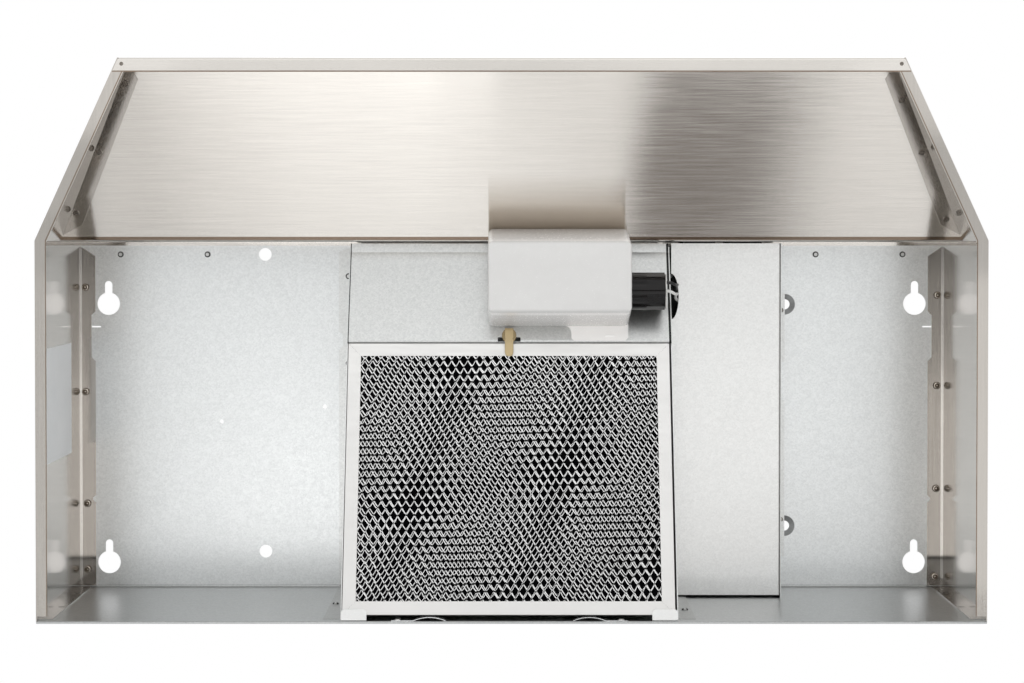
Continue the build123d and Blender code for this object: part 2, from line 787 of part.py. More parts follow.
keep("motor_bracket", motor_bracket())
keep("motor_stator", stator())
keep("motor_coil", coil())
keep("lower_bearing_bracket", bearing_bracket(stator_low, -1))
keep("upper_bearing_bracket", bearing_bracket(stator_high, 1))
screw_length = stator_high + bearing_sheet - bridge_top + bridge_sheet
screw = fastener(Pos(0, 0, 0), motor_screw_head_r, motor_screw_head, motor_screw_r, screw_length)
spacer_length = stator_low - bearing_sheet - bridge_top
spacer = Cylinder(motor_spacer_r, spacer_length) - Cylinder(motor_screw_r, spacer_length)
keep("motor_screws", *[Pos(x, fan_y, bridge_top - bridge_sheet) * screw for x in motor_screw_x])
keep("motor_spacers", *[Pos(x, fan_y, bridge_top + spacer_length / 2) * spacer for x in motor_screw_x])
rotor = Cylinder(rotor_r, stator_stack + 2 * sheet) - Cylinder(shaft_r, 2 * stator_stack)
keep("motor_rotor", Pos(*fan_axis, (stator_low + stator_high) / 2) * rotor)


# ------------------------------------------------------------------ fan
def fan_blade():
    """Moulded hub with pitched blades, trimmed to the circle that runs in the orifice."""
    hub = chamfer(Cylinder(hub_r, hub_height).edges().filter_by(GeomType.CIRCLE), sheet)
    fan = hub
    root = Plane(origin=(hub_r - blade_thickness, 0, 0), x_dir=(0, 1, 0), z_dir=(1, 0, 0))
    tip = Plane(origin=(fan_r + blade_thickness, 0, 0), x_dir=(0, 1, 0), z_dir=(1, 0, 0))
    blade = loft(
        [
            root * Rot(0, 0, blade_pitch_root) * Rectangle(blade_root, blade_thickness),
            tip * Rot(0, 0, blade_pitch_tip) * Rectangle(blade_tip, blade_thickness),
        ]
    )
    blade &= Cylinder(fan_r, 2 * blade_tip)
    for index in range(fan_blades):
        fan += Rot(0, 0, index * 360 / fan_blades) * blade
    return Pos(*fan_axis, deck_z + sheet / 2) * (fan - Cylinder(shaft_r, 3 * hub_height))


hub_low = deck_z + sheet / 2 - hub_height / 2
shaft_low = hub_low - hub_clip_height - shaft_tail
shaft_high = stator_high + bearing_sheet / 2 + bearing_standoff + bearing_length / 2
keep("fan_blade", fan_blade())
keep("motor_shaft", Pos(*fan_axis, (shaft_low + shaft_high) / 2) * Cylinder(shaft_r, shaft_high - shaft_low))
hub_clip = Cylinder(hub_clip_r, hub_clip_height) - Cylinder(shaft_r, 2 * hub_clip_height)
keep("fan_hub_clip", Pos(*fan_axis, hub_low - hub_clip_height / 2) * hub_clip)


# ------------------------------------------------------------------ filter
filter_place = Pos(housing_centre, filter_front, filter_front_z) * Rot(-filter_tilt, 0, 0)


def filter_layer(inset, low, high):
    """A plate inside the filter, in the filter's own axes, `inset` from its outline."""
    half = filter_width / 2 - inset
    return block((-half, half), (inset, filter_length - inset), (low, high))


def filter_mesh(low, columns, rows):
    """Expanded metal: one sheet with rows of diamond gaps, each row half a gap aside."""
    window = (filter_width - 2 * filter_border, filter_length - 2 * filter_border)
    step_x = window[0] / (columns + 0.5)
    step_y = window[1] / (rows + 1)
    half_x = step_x / 2 - mesh_strand / 2
    half_y = step_y - mesh_strand * step_y / step_x
    size = (filter_width - 2 * filter_skin, filter_length - 2 * filter_skin)
    sheet_face = Pos(0, filter_length / 2) * Rectangle(*size)
    gaps = []
    for row in range(rows):
        y = filter_border + (row + 1) * step_y
        for column in range(columns):
            x = -window[0] / 2 + (column + 0.5 + 0.5 * (row % 2)) * step_x
            corners = [(x - half_x, y), (x, y - half_y), (x + half_x, y), (x, y + half_y)]
            gaps.append(make_face(Polyline(*corners, close=True)))
    return Pos(0, 0, low) * extrude(sheet_face - gaps, mesh_thickness)


frame = filter_layer(0, 0, filter_thickness)
frame -= filter_layer(filter_border, -1, filter_thickness + 1)
frame -= filter_layer(filter_skin, filter_skin, filter_thickness - filter_skin)
pad_low = filter_skin + mesh_thickness
pad_high = filter_thickness - filter_skin - mesh_thickness
keep("filter_frame", filter_place * frame)
keep("filter_front_mesh", filter_place * filter_mesh(filter_skin, front_mesh_columns, front_mesh_rows))
keep("charcoal_pad", filter_place * filter_layer(filter_skin, pad_low, pad_high))
keep("filter_rear_mesh", filter_place * filter_mesh(pad_high, rear_mesh_columns, rear_mesh_rows))


# ------------------------------------------------------------------ what holds the filter
def filter_clip():
    """Nylon spring clip under the lamp plate: body, round-ended finger, and stem through the plate."""
    face = sheet / 2
    body = side_prism(
        [
            (clip_start, plate_z(clip_start, face)),
            (clip_start, plate_z(clip_start, face + clip_thickness * 0.7)),
            (clip_start + clip_thickness, plate_z(clip_start + clip_thickness, face + clip_thickness)),
            (plate_back - sheet, plate_z(plate_back - sheet, face + clip_thickness)),
            (plate_back - sheet, plate_z(plate_back - sheet, face)),
        ],
        clip_x - clip_width / 2,
        clip_x + clip_width / 2,
    )
    tip = filter_front + clip_reach
    start = plate_back - clip_thickness
    finger = side_prism(
        [
            (start, plate_z(start, face + sheet)),
            (start, plate_z(start, face + clip_thickness)),
            (tip, filter_z(tip, running_gap + clip_thickness * 0.7)),
            (tip, filter_z(tip, running_gap)),
            (filter_front, filter_z(filter_front, 2 * running_gap)),
        ],
        clip_x - clip_finger / 2,
        clip_x + clip_finger / 2,
    )
    rounding = Pos(clip_x, tip - clip_width) * SlotOverall(2 * clip_width, clip_finger, rotation=90)
    finger &= Pos(0, 0, filter_z(tip) - clip_width) * extrude(rounding, 2 * clip_width)
    stem = block(
        (clip_x - clip_stem_width / 2, clip_x + clip_stem_width / 2),
        (stem_y - clip_stem / 2, stem_y + clip_stem / 2),
        (plate_z(stem_y, face + sheet), plate_z(stem_y) + clip_thickness),
    )
    return body + finger + stem


def filter_bracket(left):
    """Angle riveted to the rim hem. Its tab lies along the face of the filter, 0.3 mm under it."""
    front = hem_face - bracket_reach
    heel = hem_face - sheet / 2
    middle = [
        (front, filter_z(front, running_gap + sheet / 2)),
        (heel, filter_z(heel, running_gap + sheet / 2)),
        (heel, back_hem_height),
    ]
    bracket = bent(middle, left, left + bracket_width, radius=sheet)
    depth = 2 * bracket_reach
    plan = RectangleRounded(bracket_width, depth, bracket_corner)
    return bracket & Pos(left + bracket_width / 2, front + depth / 2, 0) * extrude(plan, 2 * back_hem_height)


def filter_spring(side):
    """Leaf spring riveted to the rim hem, with a bow that presses on the back edge of the filter."""
    y = hem_face - spring_sheet / 2
    rivet = housing_centre + side * spring_offset
    start = rivet - side * spring_flat
    end = start - side * spring_run
    flat = Line((rivet + side * spring_tail, y), (start, y))
    bow = ThreePointArc((start, y), ((start + end) / 2, y - spring_bow), (end, y))
    strip = trace(flat, spring_sheet) + trace(bow, spring_sheet)
    leaf = Pos(0, 0, spring_low) * extrude(strip, spring_high - spring_low)
    leaf &= block((-hood_width, hood_width), (0, hem_face), (0, hood_height))
    return leaf - shank_holes(spring_rivets, rivet_r, 2 * sheet)


keep("filter_clip", filter_clip())
keep("left_filter_bracket", filter_bracket(wall_left))
keep("right_filter_bracket", filter_bracket(wall_right - bracket_width))
keep("filter_springs", filter_spring(-1), filter_spring(1))
spring_shank = sheet + back_hem + spring_sheet
keep("spring_rivets", *rivets(spring_rivets, spring_shank))


# ------------------------------------------------------------------ lamp
def along_lamp(x):
    """A place on the lamp's axis with its Z pointing to the user's right."""
    return Pos(x, socket_y, socket_z) * Rot(0, 90, 0)


def rod(left, right, radius):
    """A round bar on the lamp's axis."""
    return along_lamp((left + right) / 2) * Cylinder(radius, right - left)


def lens_outline(back, inset=0.0, lift=0.0):
    """Section of the lens tray across the hood, as (y, z) points, `inset` inside its outer face."""
    rim = running_gap + sheet / 2
    back_top = plate_z(back, rim)
    front_top = visor_z(-lens_front_reach, rim + sheet)
    step_z = visor_z(lens_step_y, rim + sheet)
    front_lean = (lens_bottom_front + lens_front_reach) / (front_top - lens_bottom)
    back_lean = (back - lens_bottom_back) / (back_top - lens_bottom)
    front_shift = inset * hypot(1, front_lean)
    back_shift = inset * hypot(1, back_lean)
    return [
        (-lens_front_reach + front_shift, front_top + lift),
        (lens_step_y + inset, step_z + lift),
        (lens_step_y + inset, plate_z(lamp_plate_crease, rim) + lift),
        (lamp_plate_crease, plate_z(lamp_plate_crease, rim) + lift),
        (back - back_shift, back_top + lift),
        (lens_bottom_back + back_lean * inset - back_shift, lens_bottom + inset),
        (lens_bottom_front - front_lean * inset + front_shift, lens_bottom + inset),
    ]


def lens_body(inset):
    """The lens tray as a block, `inset` inside its outer faces and standing open at the top."""
    lift = 0.0 if inset == 0 else lens_wall
    body = None
    for left, back in ((lens_left, lens_back), (lens_step, lens_deep)):
        piece = side_prism(lens_outline(back, inset, lift), left + inset, lens_right - inset)
        piece = fillet(piece.edges().group_by(Axis.Z)[0], lens_round - inset)
        body = piece if body is None else body + piece
    return body


def lamp_lens():
    """White lens tray with a slot for the socket and two ears that stand up through the lamp plate."""
    lens = lens_body(0) - lens_body(lens_wall)
    half = socket_r + running_gap
    slot = along_lamp(lens_right) * Cylinder(half, 4 * lens_wall)
    slot += block(
        (lens_right - 2 * lens_wall, lens_right + 2 * lens_wall),
        (socket_y - half, socket_y + half),
        (socket_z, lamp_plate_front_z),
    )
    lens -= slot
    for x, y in lens_ears:
        tall = (plate_z(y + lens_wall, 3 * lens_wall), plate_z(y) + 2 * lens_wall)
        lens += block((x - lens_ear / 2, x + lens_ear / 2), (y, y + lens_wall), tall)
    return lens


def lamp_socket():
    """Moulded socket with flats along its outside and a closed right end."""
    bore = socket_r - socket_wall
    body = rod(socket_left, socket_right, socket_r)
    flat_part = (socket_right - socket_left - socket_end) / 2
    across = RegularPolygon(socket_r - socket_wall / 3, socket_flats, major_radius=False)
    body &= along_lamp(socket_right) * extrude(across, -flat_part)
    body += rod(socket_left, socket_right - flat_part, socket_r)
    body -= rod(socket_left - 1, socket_right - socket_end, bore)
    lead_hole = Cylinder(lead_r + running_gap / 3, socket_end)
    for y in lead_y:
        body -= Pos(socket_right, y, socket_z) * Rot(0, 90, 0) * lead_hole
    return body


def bulb_glass():
    """Envelope of the lamp: a round bulb drawn in to its neck."""
    neck = thread_r - thread_depth
    right = base_left
    centre = bulb_left + bulb_r
    halfway = (centre - bulb_r * cos(pi / 4), bulb_r * sin(pi / 4))
    shoulder = [(centre, bulb_r), ((centre + right) / 2, (bulb_r + neck) / 2), (right, neck)]
    outline = [
        ThreePointArc((bulb_left, 0), halfway, (centre, bulb_r)),
        Spline(shoulder, tangents=[(1, 0), (1, 0)]),
        Line((right, neck), (right, 0)),
        Line((right, 0), (bulb_left, 0)),
    ]
    profile = Plane(origin=(0, socket_y, socket_z), x_dir=(1, 0, 0), z_dir=(0, -1, 0)) * make_face(outline)
    return revolve(profile, axis=Axis((0, socket_y, socket_z), (1, 0, 0)))


def bulb_base():
    """Screw base with rolled rings for its thread, an insulator and the end contact."""
    base = rod(base_left, base_right, thread_r - thread_depth)
    x = base_left + thread_pitch
    while x + thread_pitch < base_right:
        base += along_lamp(x) * Torus(thread_r - thread_depth, thread_depth)
        x += thread_pitch
    return base + rod(base_right - bulb_seat, base_right + bulb_seat, thread_r / 3)


keep("lamp_lens", lamp_lens())
keep("lamp_socket", lamp_socket())
shell_right = socket_right - socket_end
screw_shell = rod(socket_left + 2 * socket_wall, shell_right, socket_r - socket_wall)
keep("socket_shell", screw_shell - rod(socket_left, shell_right, socket_r - socket_wall - thread_shell))
keep("bulb_glass", bulb_glass())
keep("bulb_base", bulb_base())


def socket_bracket():
    """Angle under the lamp plate: a foot along the plate and an ear that closes the socket's right end."""
    low = socket_z - socket_bracket_half
    sides = (socket_y - socket_bracket_half, socket_y + socket_bracket_half)
    face = sheet / 2
    top = [(y, plate_z(y, face)) for y in sides]
    under = [(y, plate_z(y, face + sheet)) for y in reversed(sides)]
    ear = side_prism([(sides[0], low), *top, (sides[1], low)], socket_right, socket_right + sheet)
    foot = side_prism([*top, *under], socket_right - socket_bracket_foot, socket_right + sheet)
    bracket = ear + foot
    bracket -= shank_holes(bracket_rivets, rivet_r, 2 * sheet)
    for y in lead_y:
        bracket -= Pos(socket_right, y, socket_z) * Rot(0, 90, 0) * Cylinder(lead_r + running_gap, socket_end)
    return bracket


keep("socket_bracket", socket_bracket())
keep("bracket_rivets", *rivets(bracket_rivets, 2 * sheet))


# ------------------------------------------------------------------ wiring compartment
def wiring_cover():
    """Flat cover of the wiring compartment, turned up along its right edge, notched for the leads."""
    middle = cover_z + sheet / 2
    back = back_inner - cover_back_gap
    edge = cover_right - sheet / 2
    section = [(cover_left, middle), (edge, middle), (edge, middle + cover_flange)]
    cover = upright(section, cover_front, back)
    notch = Ellipse(cover_notch_depth, cover_notch_half)
    cover -= Pos(cover_left, cover_notch_y, cover_z - sheet) * extrude(notch, 3 * sheet)
    cover -= block(
        (cover_left - cover_nick, cover_left + cover_nick),
        (cover_nick_y - 2 * cover_nick, cover_nick_y + cover_nick),
        (cover_z - sheet, cover_top + sheet),
    )
    return cover - shank_holes(cover_screws, screw_r, 2 * sheet)


def wiring_box_wall():
    """Right wall of the wiring compartment, held up by two tabs under the pan."""
    middle = cover_right + sheet / 2
    tab_z = flange_under + sheet / 2
    section = [(middle, cover_z), (middle, tab_z), (box_right + box_flange, tab_z)]
    wall = upright(section, cover_front, back_inner)
    ends = [0, *box_tab_front, box_tab_back[0], back_inner - box_tab_back[1], body_depth]
    top = (flange_under - bend, pan_under)
    for low, high in zip(ends[::2], ends[1::2]):
        wall -= block((box_right, box_right + 2 * box_flange), (low, high), top)
    wall -= block((cover_right, box_right), (0, top_ledge + running_gap), top)
    return wall - under_the_back_bend - shank_holes(cover_screws, screw_r, 2 * sheet)


keep("wiring_cover", wiring_cover())
keep("wiring_box_wall", wiring_box_wall())
keep("cover_screws", *[fastener(p, screw_head_r, screw_head, screw_r, 2 * sheet) for p in cover_screws])
keep("ground_screw", fastener(ground_screw, ground_head_r, screw_head, screw_r, sheet))


# ------------------------------------------------------------------ switches
def switch_body(x):
    """Housing of a rocker switch, pushed into the front panel, with a round well for the rocker."""
    bezel = block(
        (x - bezel_width / 2, x + bezel_width / 2),
        (-bezel_proud, 0),
        (switch_z - bezel_height / 2, switch_z + bezel_height / 2),
    )
    bezel = chamfer(bezel.faces().sort_by(Axis.Y)[0].edges(), bezel_proud / 2)
    body = bezel + block(
        (x - switch_width / 2, x + switch_width / 2),
        (0, switch_depth),
        (switch_z - switch_height / 2, switch_z + switch_height / 2),
    )
    pivot = Pos(x, rocker_pivot_y, switch_z)
    body -= pivot * Cylinder(rocker_r + rocker_gap, rocker_height + 2 * rocker_gap)
    trunnions = rocker_height + 2 * trunnion_length + rocker_gap
    return body - pivot * Cylinder(trunnion_r + shaft_clearance, trunnions)


def rocker(x, lean):
    """Rocker cap with a shallow valley across its front, leaning by `lean` degrees at rest."""
    end_x = (rocker_r**2 - rocker_rise**2) ** 0.5
    fall = (rocker_rise - rocker_valley) / end_x
    outline = [
        (-rocker_r, -rocker_valley - fall * rocker_r),
        (0, -rocker_valley),
        (rocker_r, -rocker_valley - fall * rocker_r),
        (rocker_r, rocker_pivot_y),
        (-rocker_r, rocker_pivot_y),
    ]
    cap = Cylinder(rocker_r, rocker_height) & slab(outline, -rocker_height, rocker_height)
    cap += Cylinder(trunnion_r, rocker_height + 2 * trunnion_length)
    return Pos(x, rocker_pivot_y, switch_z) * Rot(0, 0, lean) * cap


def terminals(x, count):
    """Blade terminals on the back of a switch."""
    thickness, length, width = terminal
    start = x - (count - 1) / 2 * terminal_offset
    return [
        block(
            (start + i * terminal_offset - thickness / 2, start + i * terminal_offset + thickness / 2),
            (switch_depth, switch_depth + length),
            (switch_z - width / 2, switch_z + width / 2),
        )
        for i in range(count)
    ]


keep("light_switch_body", switch_body(light_switch_x))
keep("light_rocker", rocker(light_switch_x, rocker_tilt))
keep("fan_switch_body", switch_body(fan_switch_x))
keep("fan_rocker", rocker(fan_switch_x, 0))
keep("switch_terminals", *terminals(light_switch_x, 2), *terminals(fan_switch_x, 3))


# ------------------------------------------------------------------ leads inside the hood
nut_z = cover_top + wire_nut_r + running_gap
lamp_nut = (160.0, 76.0, nut_z)
motor_nut = (180.0, 122.0, nut_z)
terminal_back = switch_depth + terminal[1]
light_terminal_x = light_switch_x - terminal_offset / 2
fan_terminal_x = fan_switch_x - terminal_offset
lead_start = socket_right - socket_end / 2
motor_lead_x = housing_centre + coil_width / 2
motor_lead_z = stator_high + coil_wrap / 2
coil_lead_y = fan_y + stator_back - limb / 2

black_route = [
    (lead_start, lead_y[0], socket_z),
    (131.2, lead_y[0], socket_z),
    (136.9, 37.6, 57.5),
    (139.3, 36.8, 70.0),
    (139.6, 38.5, 88.0),
    (141.5, 44.0, 112.0),
    (147.5, 51.5, 125.0),
    (light_terminal_x, 43.5, switch_z),
    (light_terminal_x, terminal_back, switch_z),
]
white_route = [
    (lead_start, lead_y[1], socket_z),
    (131.0, lead_y[1], socket_z),
    (136.5, 45.1, 57.5),
    (138.9, 44.6, 70.0),
    (139.2, 46.0, 88.0),
    (140.4, 50.0, 108.0),
    (149.0, 56.0, 114.0),
    (160.0, 63.0, nut_z),
    lamp_nut,
]
motor_black_route = [
    (motor_lead_x, coil_lead_y - 1.6, motor_lead_z),
    (45.0, coil_lead_y - 2.0, motor_lead_z),
    (80.0, lead_hole_y + 2.0, 135.0),
    (112.0, lead_hole_y - 1.5, lead_hole_z),
    (148.0, lead_hole_y - 1.5, lead_hole_z),
    (172.0, 218.0, 125.0),
    (186.0, 180.0, 122.0),
    (194.0, 130.0, 123.0),
    (197.0, 85.0, 126.0),
    (fan_terminal_x, 52.0, switch_z),
    (fan_terminal_x, terminal_back, switch_z),
]
motor_white_route = [
    (motor_lead_x, coil_lead_y + 1.6, motor_lead_z),
    (45.0, coil_lead_y + 2.0, motor_lead_z),
    (80.0, lead_hole_y + 6.0, 135.0),
    (112.0, lead_hole_y + 1.5, lead_hole_z),
    (146.0, lead_hole_y + 1.5, lead_hole_z),
    (166.0, 216.0, 122.0),
    (175.0, 188.0, 116.0),
    (180.0, 155.0, nut_z),
    motor_nut,
]
nut = Cone(wire_nut_r, wire_nut_r * 0.6, wire_nut_length)
keep("lamp_lead_black", tube(black_route, lead_r))
keep("lamp_lead_white", tube(white_route, lead_r))
keep("motor_leads", tube(motor_black_route, lead_r), tube(motor_white_route, lead_r))
keep(
    "wire_nuts",
    Pos(lamp_nut[0], lamp_nut[1] + wire_nut_length / 2, lamp_nut[2]) * Rot(-90, 0, 0) * nut,
    Pos(motor_nut[0], motor_nut[1] - wire_nut_length / 2, motor_nut[2]) * Rot(90, 0, 0) * nut,
)
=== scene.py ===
import math
import random

import bpy
from mathutils import Matrix, Vector


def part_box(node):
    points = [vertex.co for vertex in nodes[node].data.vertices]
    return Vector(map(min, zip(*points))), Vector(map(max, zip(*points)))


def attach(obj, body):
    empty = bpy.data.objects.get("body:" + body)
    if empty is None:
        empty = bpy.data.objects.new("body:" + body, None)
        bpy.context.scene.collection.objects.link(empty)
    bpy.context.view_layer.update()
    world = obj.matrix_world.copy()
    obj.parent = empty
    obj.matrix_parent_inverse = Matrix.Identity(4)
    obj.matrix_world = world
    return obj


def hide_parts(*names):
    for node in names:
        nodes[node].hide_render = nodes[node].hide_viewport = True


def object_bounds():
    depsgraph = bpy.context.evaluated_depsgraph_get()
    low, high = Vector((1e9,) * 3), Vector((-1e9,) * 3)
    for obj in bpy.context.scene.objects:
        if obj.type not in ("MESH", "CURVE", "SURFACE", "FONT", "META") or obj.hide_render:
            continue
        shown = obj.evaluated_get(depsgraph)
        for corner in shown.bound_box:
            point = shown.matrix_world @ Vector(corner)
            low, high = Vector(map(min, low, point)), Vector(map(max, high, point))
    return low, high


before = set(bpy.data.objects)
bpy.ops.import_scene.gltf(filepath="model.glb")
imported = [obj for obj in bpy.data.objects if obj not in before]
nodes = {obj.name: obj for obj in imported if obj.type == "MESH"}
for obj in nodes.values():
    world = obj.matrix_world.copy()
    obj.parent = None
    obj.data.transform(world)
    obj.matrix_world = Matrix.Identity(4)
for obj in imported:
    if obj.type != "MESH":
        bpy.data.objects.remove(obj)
cad_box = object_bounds()


# ------------------------ the room and the camera
# The hood hangs over a pale floor in a white room, and the camera looks straight up into it. Soft
# lamps near the floor shine up, and dark boards beside them give the brushed steel its reflections.
camera_place = (0.00038, -0.17289, -1.59990)
camera_lean = 0.0149  # radians, away from straight up
lens_mm = 63.717
frame_shift = -0.0754
floor_z = -1.74
floor_half = 4.0
board_z = -1.62
hood_centre = (0, -0.09, -0.08)

bpy.context.scene.view_settings.view_transform = "Standard"


def placed(name, data):
    """An object in the scene that shows a camera, a lamp, a mesh or a curve."""
    piece = bpy.data.objects.new(name, data)
    bpy.context.collection.objects.link(piece)
    return piece


camera = placed("camera", bpy.data.cameras.new("camera"))
camera.location = camera_place
camera.rotation_euler = (math.pi - camera_lean, 0, 0)
camera.data.lens = lens_mm
camera.data.sensor_width = 36
camera.data.shift_y = frame_shift
camera.data.clip_start = 0.01
bpy.context.scene.camera = camera


def start_material(name, colour, metallic=0.0, roughness=0.5):
    """A material with its main shader and the object's own coordinates, in metres."""
    material = bpy.data.materials.new(name)
    material.use_nodes = True
    tree = material.node_tree
    tree.nodes.clear()
    output = tree.nodes.new("ShaderNodeOutputMaterial")
    shader = tree.nodes.new("ShaderNodeBsdfPrincipled")
    place = tree.nodes.new("ShaderNodeTexCoord")
    tree.links.new(shader.outputs["BSDF"], output.inputs["Surface"])
    shader.inputs["Base Color"].default_value = (*colour, 1)
    shader.inputs["Metallic"].default_value = metallic
    shader.inputs["Roughness"].default_value = roughness
    return material, tree, shader, place.outputs["Object"]


def feed(shader, label, value):
    """Lets a mask or a colour drive one input of a shader."""
    shader.id_data.links.new(value, shader.inputs[label])


def start_effect(name, inputs, outputs):
    """An effect that several materials share: a node group with named inputs and outputs."""
    group = bpy.data.node_groups.new(name, "ShaderNodeTree")
    for label, kind, value in inputs:
        socket = group.interface.new_socket(label, in_out="INPUT", socket_type="NodeSocket" + kind)
        if value is not None:
            socket.default_value = value
    for label in outputs:
        group.interface.new_socket(label, in_out="OUTPUT", socket_type="NodeSocketFloat")
    return group, group.nodes.new("NodeGroupInput").outputs, group.nodes.new("NodeGroupOutput").inputs


def place_effect(tree, group, place, **values):
    """Puts a shared effect in a material, with the material's own values."""
    node = tree.nodes.new("ShaderNodeGroup")
    node.node_tree = group
    tree.links.new(place, node.inputs["Place"])
    for label, value in values.items():
        node.inputs[label].default_value = value
    return node.outputs


def cloud(tree, place, scale, detail):
    """Soft irregular patches. `scale` is their number to the metre."""
    node = tree.nodes.new("ShaderNodeTexNoise")
    node.inputs["Detail"].default_value = detail
    tree.links.new(place, node.inputs["Vector"])
    if isinstance(scale, (int, float)):
        node.inputs["Scale"].default_value = scale
    else:
        tree.links.new(scale, node.inputs["Scale"])
    return node.outputs["Fac"]


def reckon(tree, operation, first, second=0.0, third=0.0):
    """One step of arithmetic on masks."""
    node = tree.nodes.new("ShaderNodeMath")
    node.operation = operation
    for socket, value in zip(node.inputs, (first, second, third)):
        if isinstance(value, (int, float)):
            socket.default_value = value
        else:
            tree.links.new(value, socket)
    return node.outputs["Value"]


def product(tree, first, *others):
    """Several masks multiplied together."""
    for mask in others:
        first = reckon(tree, "MULTIPLY", first, mask)
    return first


def spread(tree, mask, low, high, from_low=0.3, from_high=0.7):
    """Maps a mask to the range of a value, such as a roughness."""
    node = tree.nodes.new("ShaderNodeMapRange")
    node.inputs["From Min"].default_value = from_low
    node.inputs["From Max"].default_value = from_high
    node.inputs["To Min"].default_value = low
    node.inputs["To Max"].default_value = high
    tree.links.new(mask, node.inputs["Value"])
    return node.outputs["Result"]


def between(tree, mask, dark, light):
    """A colour that runs from dark to light as the mask says."""
    node = tree.nodes.new("ShaderNodeMix")
    node.data_type = "RGBA"
    ends = [socket for socket in node.inputs if socket.type == "RGBA"]
    for socket, colour in zip(ends, (dark, light)):
        if isinstance(colour, tuple):
            socket.default_value = (*colour, 1)
        else:
            tree.links.new(colour, socket)
    tree.links.new(mask, node.inputs["Factor"])
    return [socket for socket in node.outputs if socket.type == "RGBA"][0]


def axes(tree, place):
    """The coordinates X, Y and Z of a place."""
    apart = tree.nodes.new("ShaderNodeSeparateXYZ")
    tree.links.new(place, apart.inputs["Vector"])
    return apart.outputs


def relief(tree, shader, height, depth):
    """Bump from a mask, `depth` metres from its lowest point to its highest."""
    node = tree.nodes.new("ShaderNodeBump")
    node.inputs["Distance"].default_value = depth
    tree.links.new(height, node.inputs["Height"])
    feed(shader, "Normal", node.outputs["Normal"])


mottle, given, result = start_effect(
    "mottle",
    [("Place", "Vector", None), ("Fineness", "Float", 400.0)],
    ["Fine", "Broad"],
)
mottle.links.new(cloud(mottle, given["Place"], given["Fineness"], 2.0), result["Fine"])
broader = reckon(mottle, "MULTIPLY", given["Fineness"], 0.12)
mottle.links.new(cloud(mottle, given["Place"], broader, 3.0), result["Broad"])


def patchy(
    name, dark, light, fineness, tone="Fine", rough=0.5, gloss="Fine", depth=0.0, bumps="Fine",
    metallic=0.0,
):
    """A material with soft patches in its colour. A pair for `rough` puts them in its gloss as well."""
    material, tree, shader, place = start_material(name, light, metallic)
    patches = place_effect(tree, mottle, place, Fineness=fineness)
    feed(shader, "Base Color", between(tree, patches[tone], dark, light))
    if isinstance(rough, tuple):
        feed(shader, "Roughness", spread(tree, patches[gloss], *rough))
    else:
        shader.inputs["Roughness"].default_value = rough
    if depth:
        relief(tree, shader, patches[bumps], depth)
    return material, tree, shader, place


def board(name, x, y, z, material):
    """A flat rectangle that faces up."""
    mesh = bpy.data.meshes.new(name)
    corners = [(x[0], y[0], z), (x[1], y[0], z), (x[1], y[1], z), (x[0], y[1], z)]
    mesh.from_pydata(corners, [], [(0, 1, 2, 3)])
    mesh.materials.append(material)
    return placed(name, mesh)


pale = patchy("pale_floor", (0.82, 0.82, 0.81), (0.86, 0.86, 0.855), 6.0, rough=0.7)[0]
floor = board("floor", (-floor_half, floor_half), (-floor_half, floor_half), floor_z, pale)


def painted(name, colour):
    """Painted board, a little uneven."""
    return patchy(name, tuple(value * 0.85 for value in colour), colour, 20.0, rough=0.9)


# The dark board covers most where its reflection is darkest on the visor, and it ends softly.
dark, tree, shader, place = painted("dark_board", (0.07, 0.045, 0.03))
at = axes(tree, place)
slanted = reckon(tree, "MULTIPLY_ADD", reckon(tree, "MINIMUM", at["Y"], 0.62), 0.30, at["X"])
upright = reckon(tree, "MULTIPLY_ADD", at["Y"], 0.12, at["X"])
right_part = spread(tree, upright, 0.24, 1.0, 0.275, 0.335)
limit = reckon(tree, "MAXIMUM", right_part, reckon(tree, "LESS_THAN", upright, 0.0))
near_part = spread(tree, at["Y"], 1.0, 0.95, 0.50, 0.66)
far_end = spread(tree, at["Y"], 1.0, 0.0, 0.95, 1.10)
fade = tree.nodes.new("ShaderNodeValToRGB")
tree.links.new(spread(tree, slanted, 0.0, 1.0, -1.0, 1.0), fade.inputs["Fac"])
covered = reckon(tree, "MINIMUM", fade.outputs["Color"], limit)
feed(shader, "Alpha", product(tree, covered, near_part, far_end))
stops = fade.color_ramp.elements
for spot, share in (
    (-0.62, 0.10), (-0.55, 0.36), (-0.47, 0.36), (-0.37, 0.22), (-0.20, 0.05), (0.0, 0.0), (0.17, 0.10),
    (0.30, 0.20), (0.35, 0.48), (0.41, 0.87), (0.46, 0.90), (0.55, 0.90), (0.61, 0.86), (0.66, 0.74),
    (0.71, 0.48), (0.77, 0.26), (0.90, 0.20),
):
    stops.new((spot + 1) / 2).color = (share, share, share, 1)
stops.remove(stops[-1])
stops.remove(stops[0])
arm_black = painted("camera_arm", (0.10, 0.09, 0.08))[0]
faded = []
for name, colour, way, shares, spots in (
    ("left_shade", (0.30, 0.30, 0.30), "X", (0.45, 0.0), (-0.75, -0.42)),
    ("camera_foot", (0.20, 0.20, 0.20), "Y", (1.0, 0.22), (-0.15, 0.14)),
):
    finish, tree, shader, place = painted(name, colour)
    feed(shader, "Alpha", spread(tree, axes(tree, place)[way], *shares, *spots))
    faded.append(finish)
for name, x, y, finish in (
    ("dark_board", (-1.3, 1.3), (0.40, 2.0), dark),
    ("left_shade_board", (-0.74, -0.42), (-0.21, 0.40), faded[0]),
    ("camera_foot_board", (-0.13, 0.13), (-0.21, 0.45), faded[1]),
    ("camera_arm_board", (-0.55, 0.55), (-0.35, -0.21), arm_black),
):
    flag = board(name, x, y, board_z, finish)
    for ray_kind in ("visible_camera", "visible_diffuse", "visible_shadow", "visible_transmission"):
        setattr(flag, ray_kind, False)

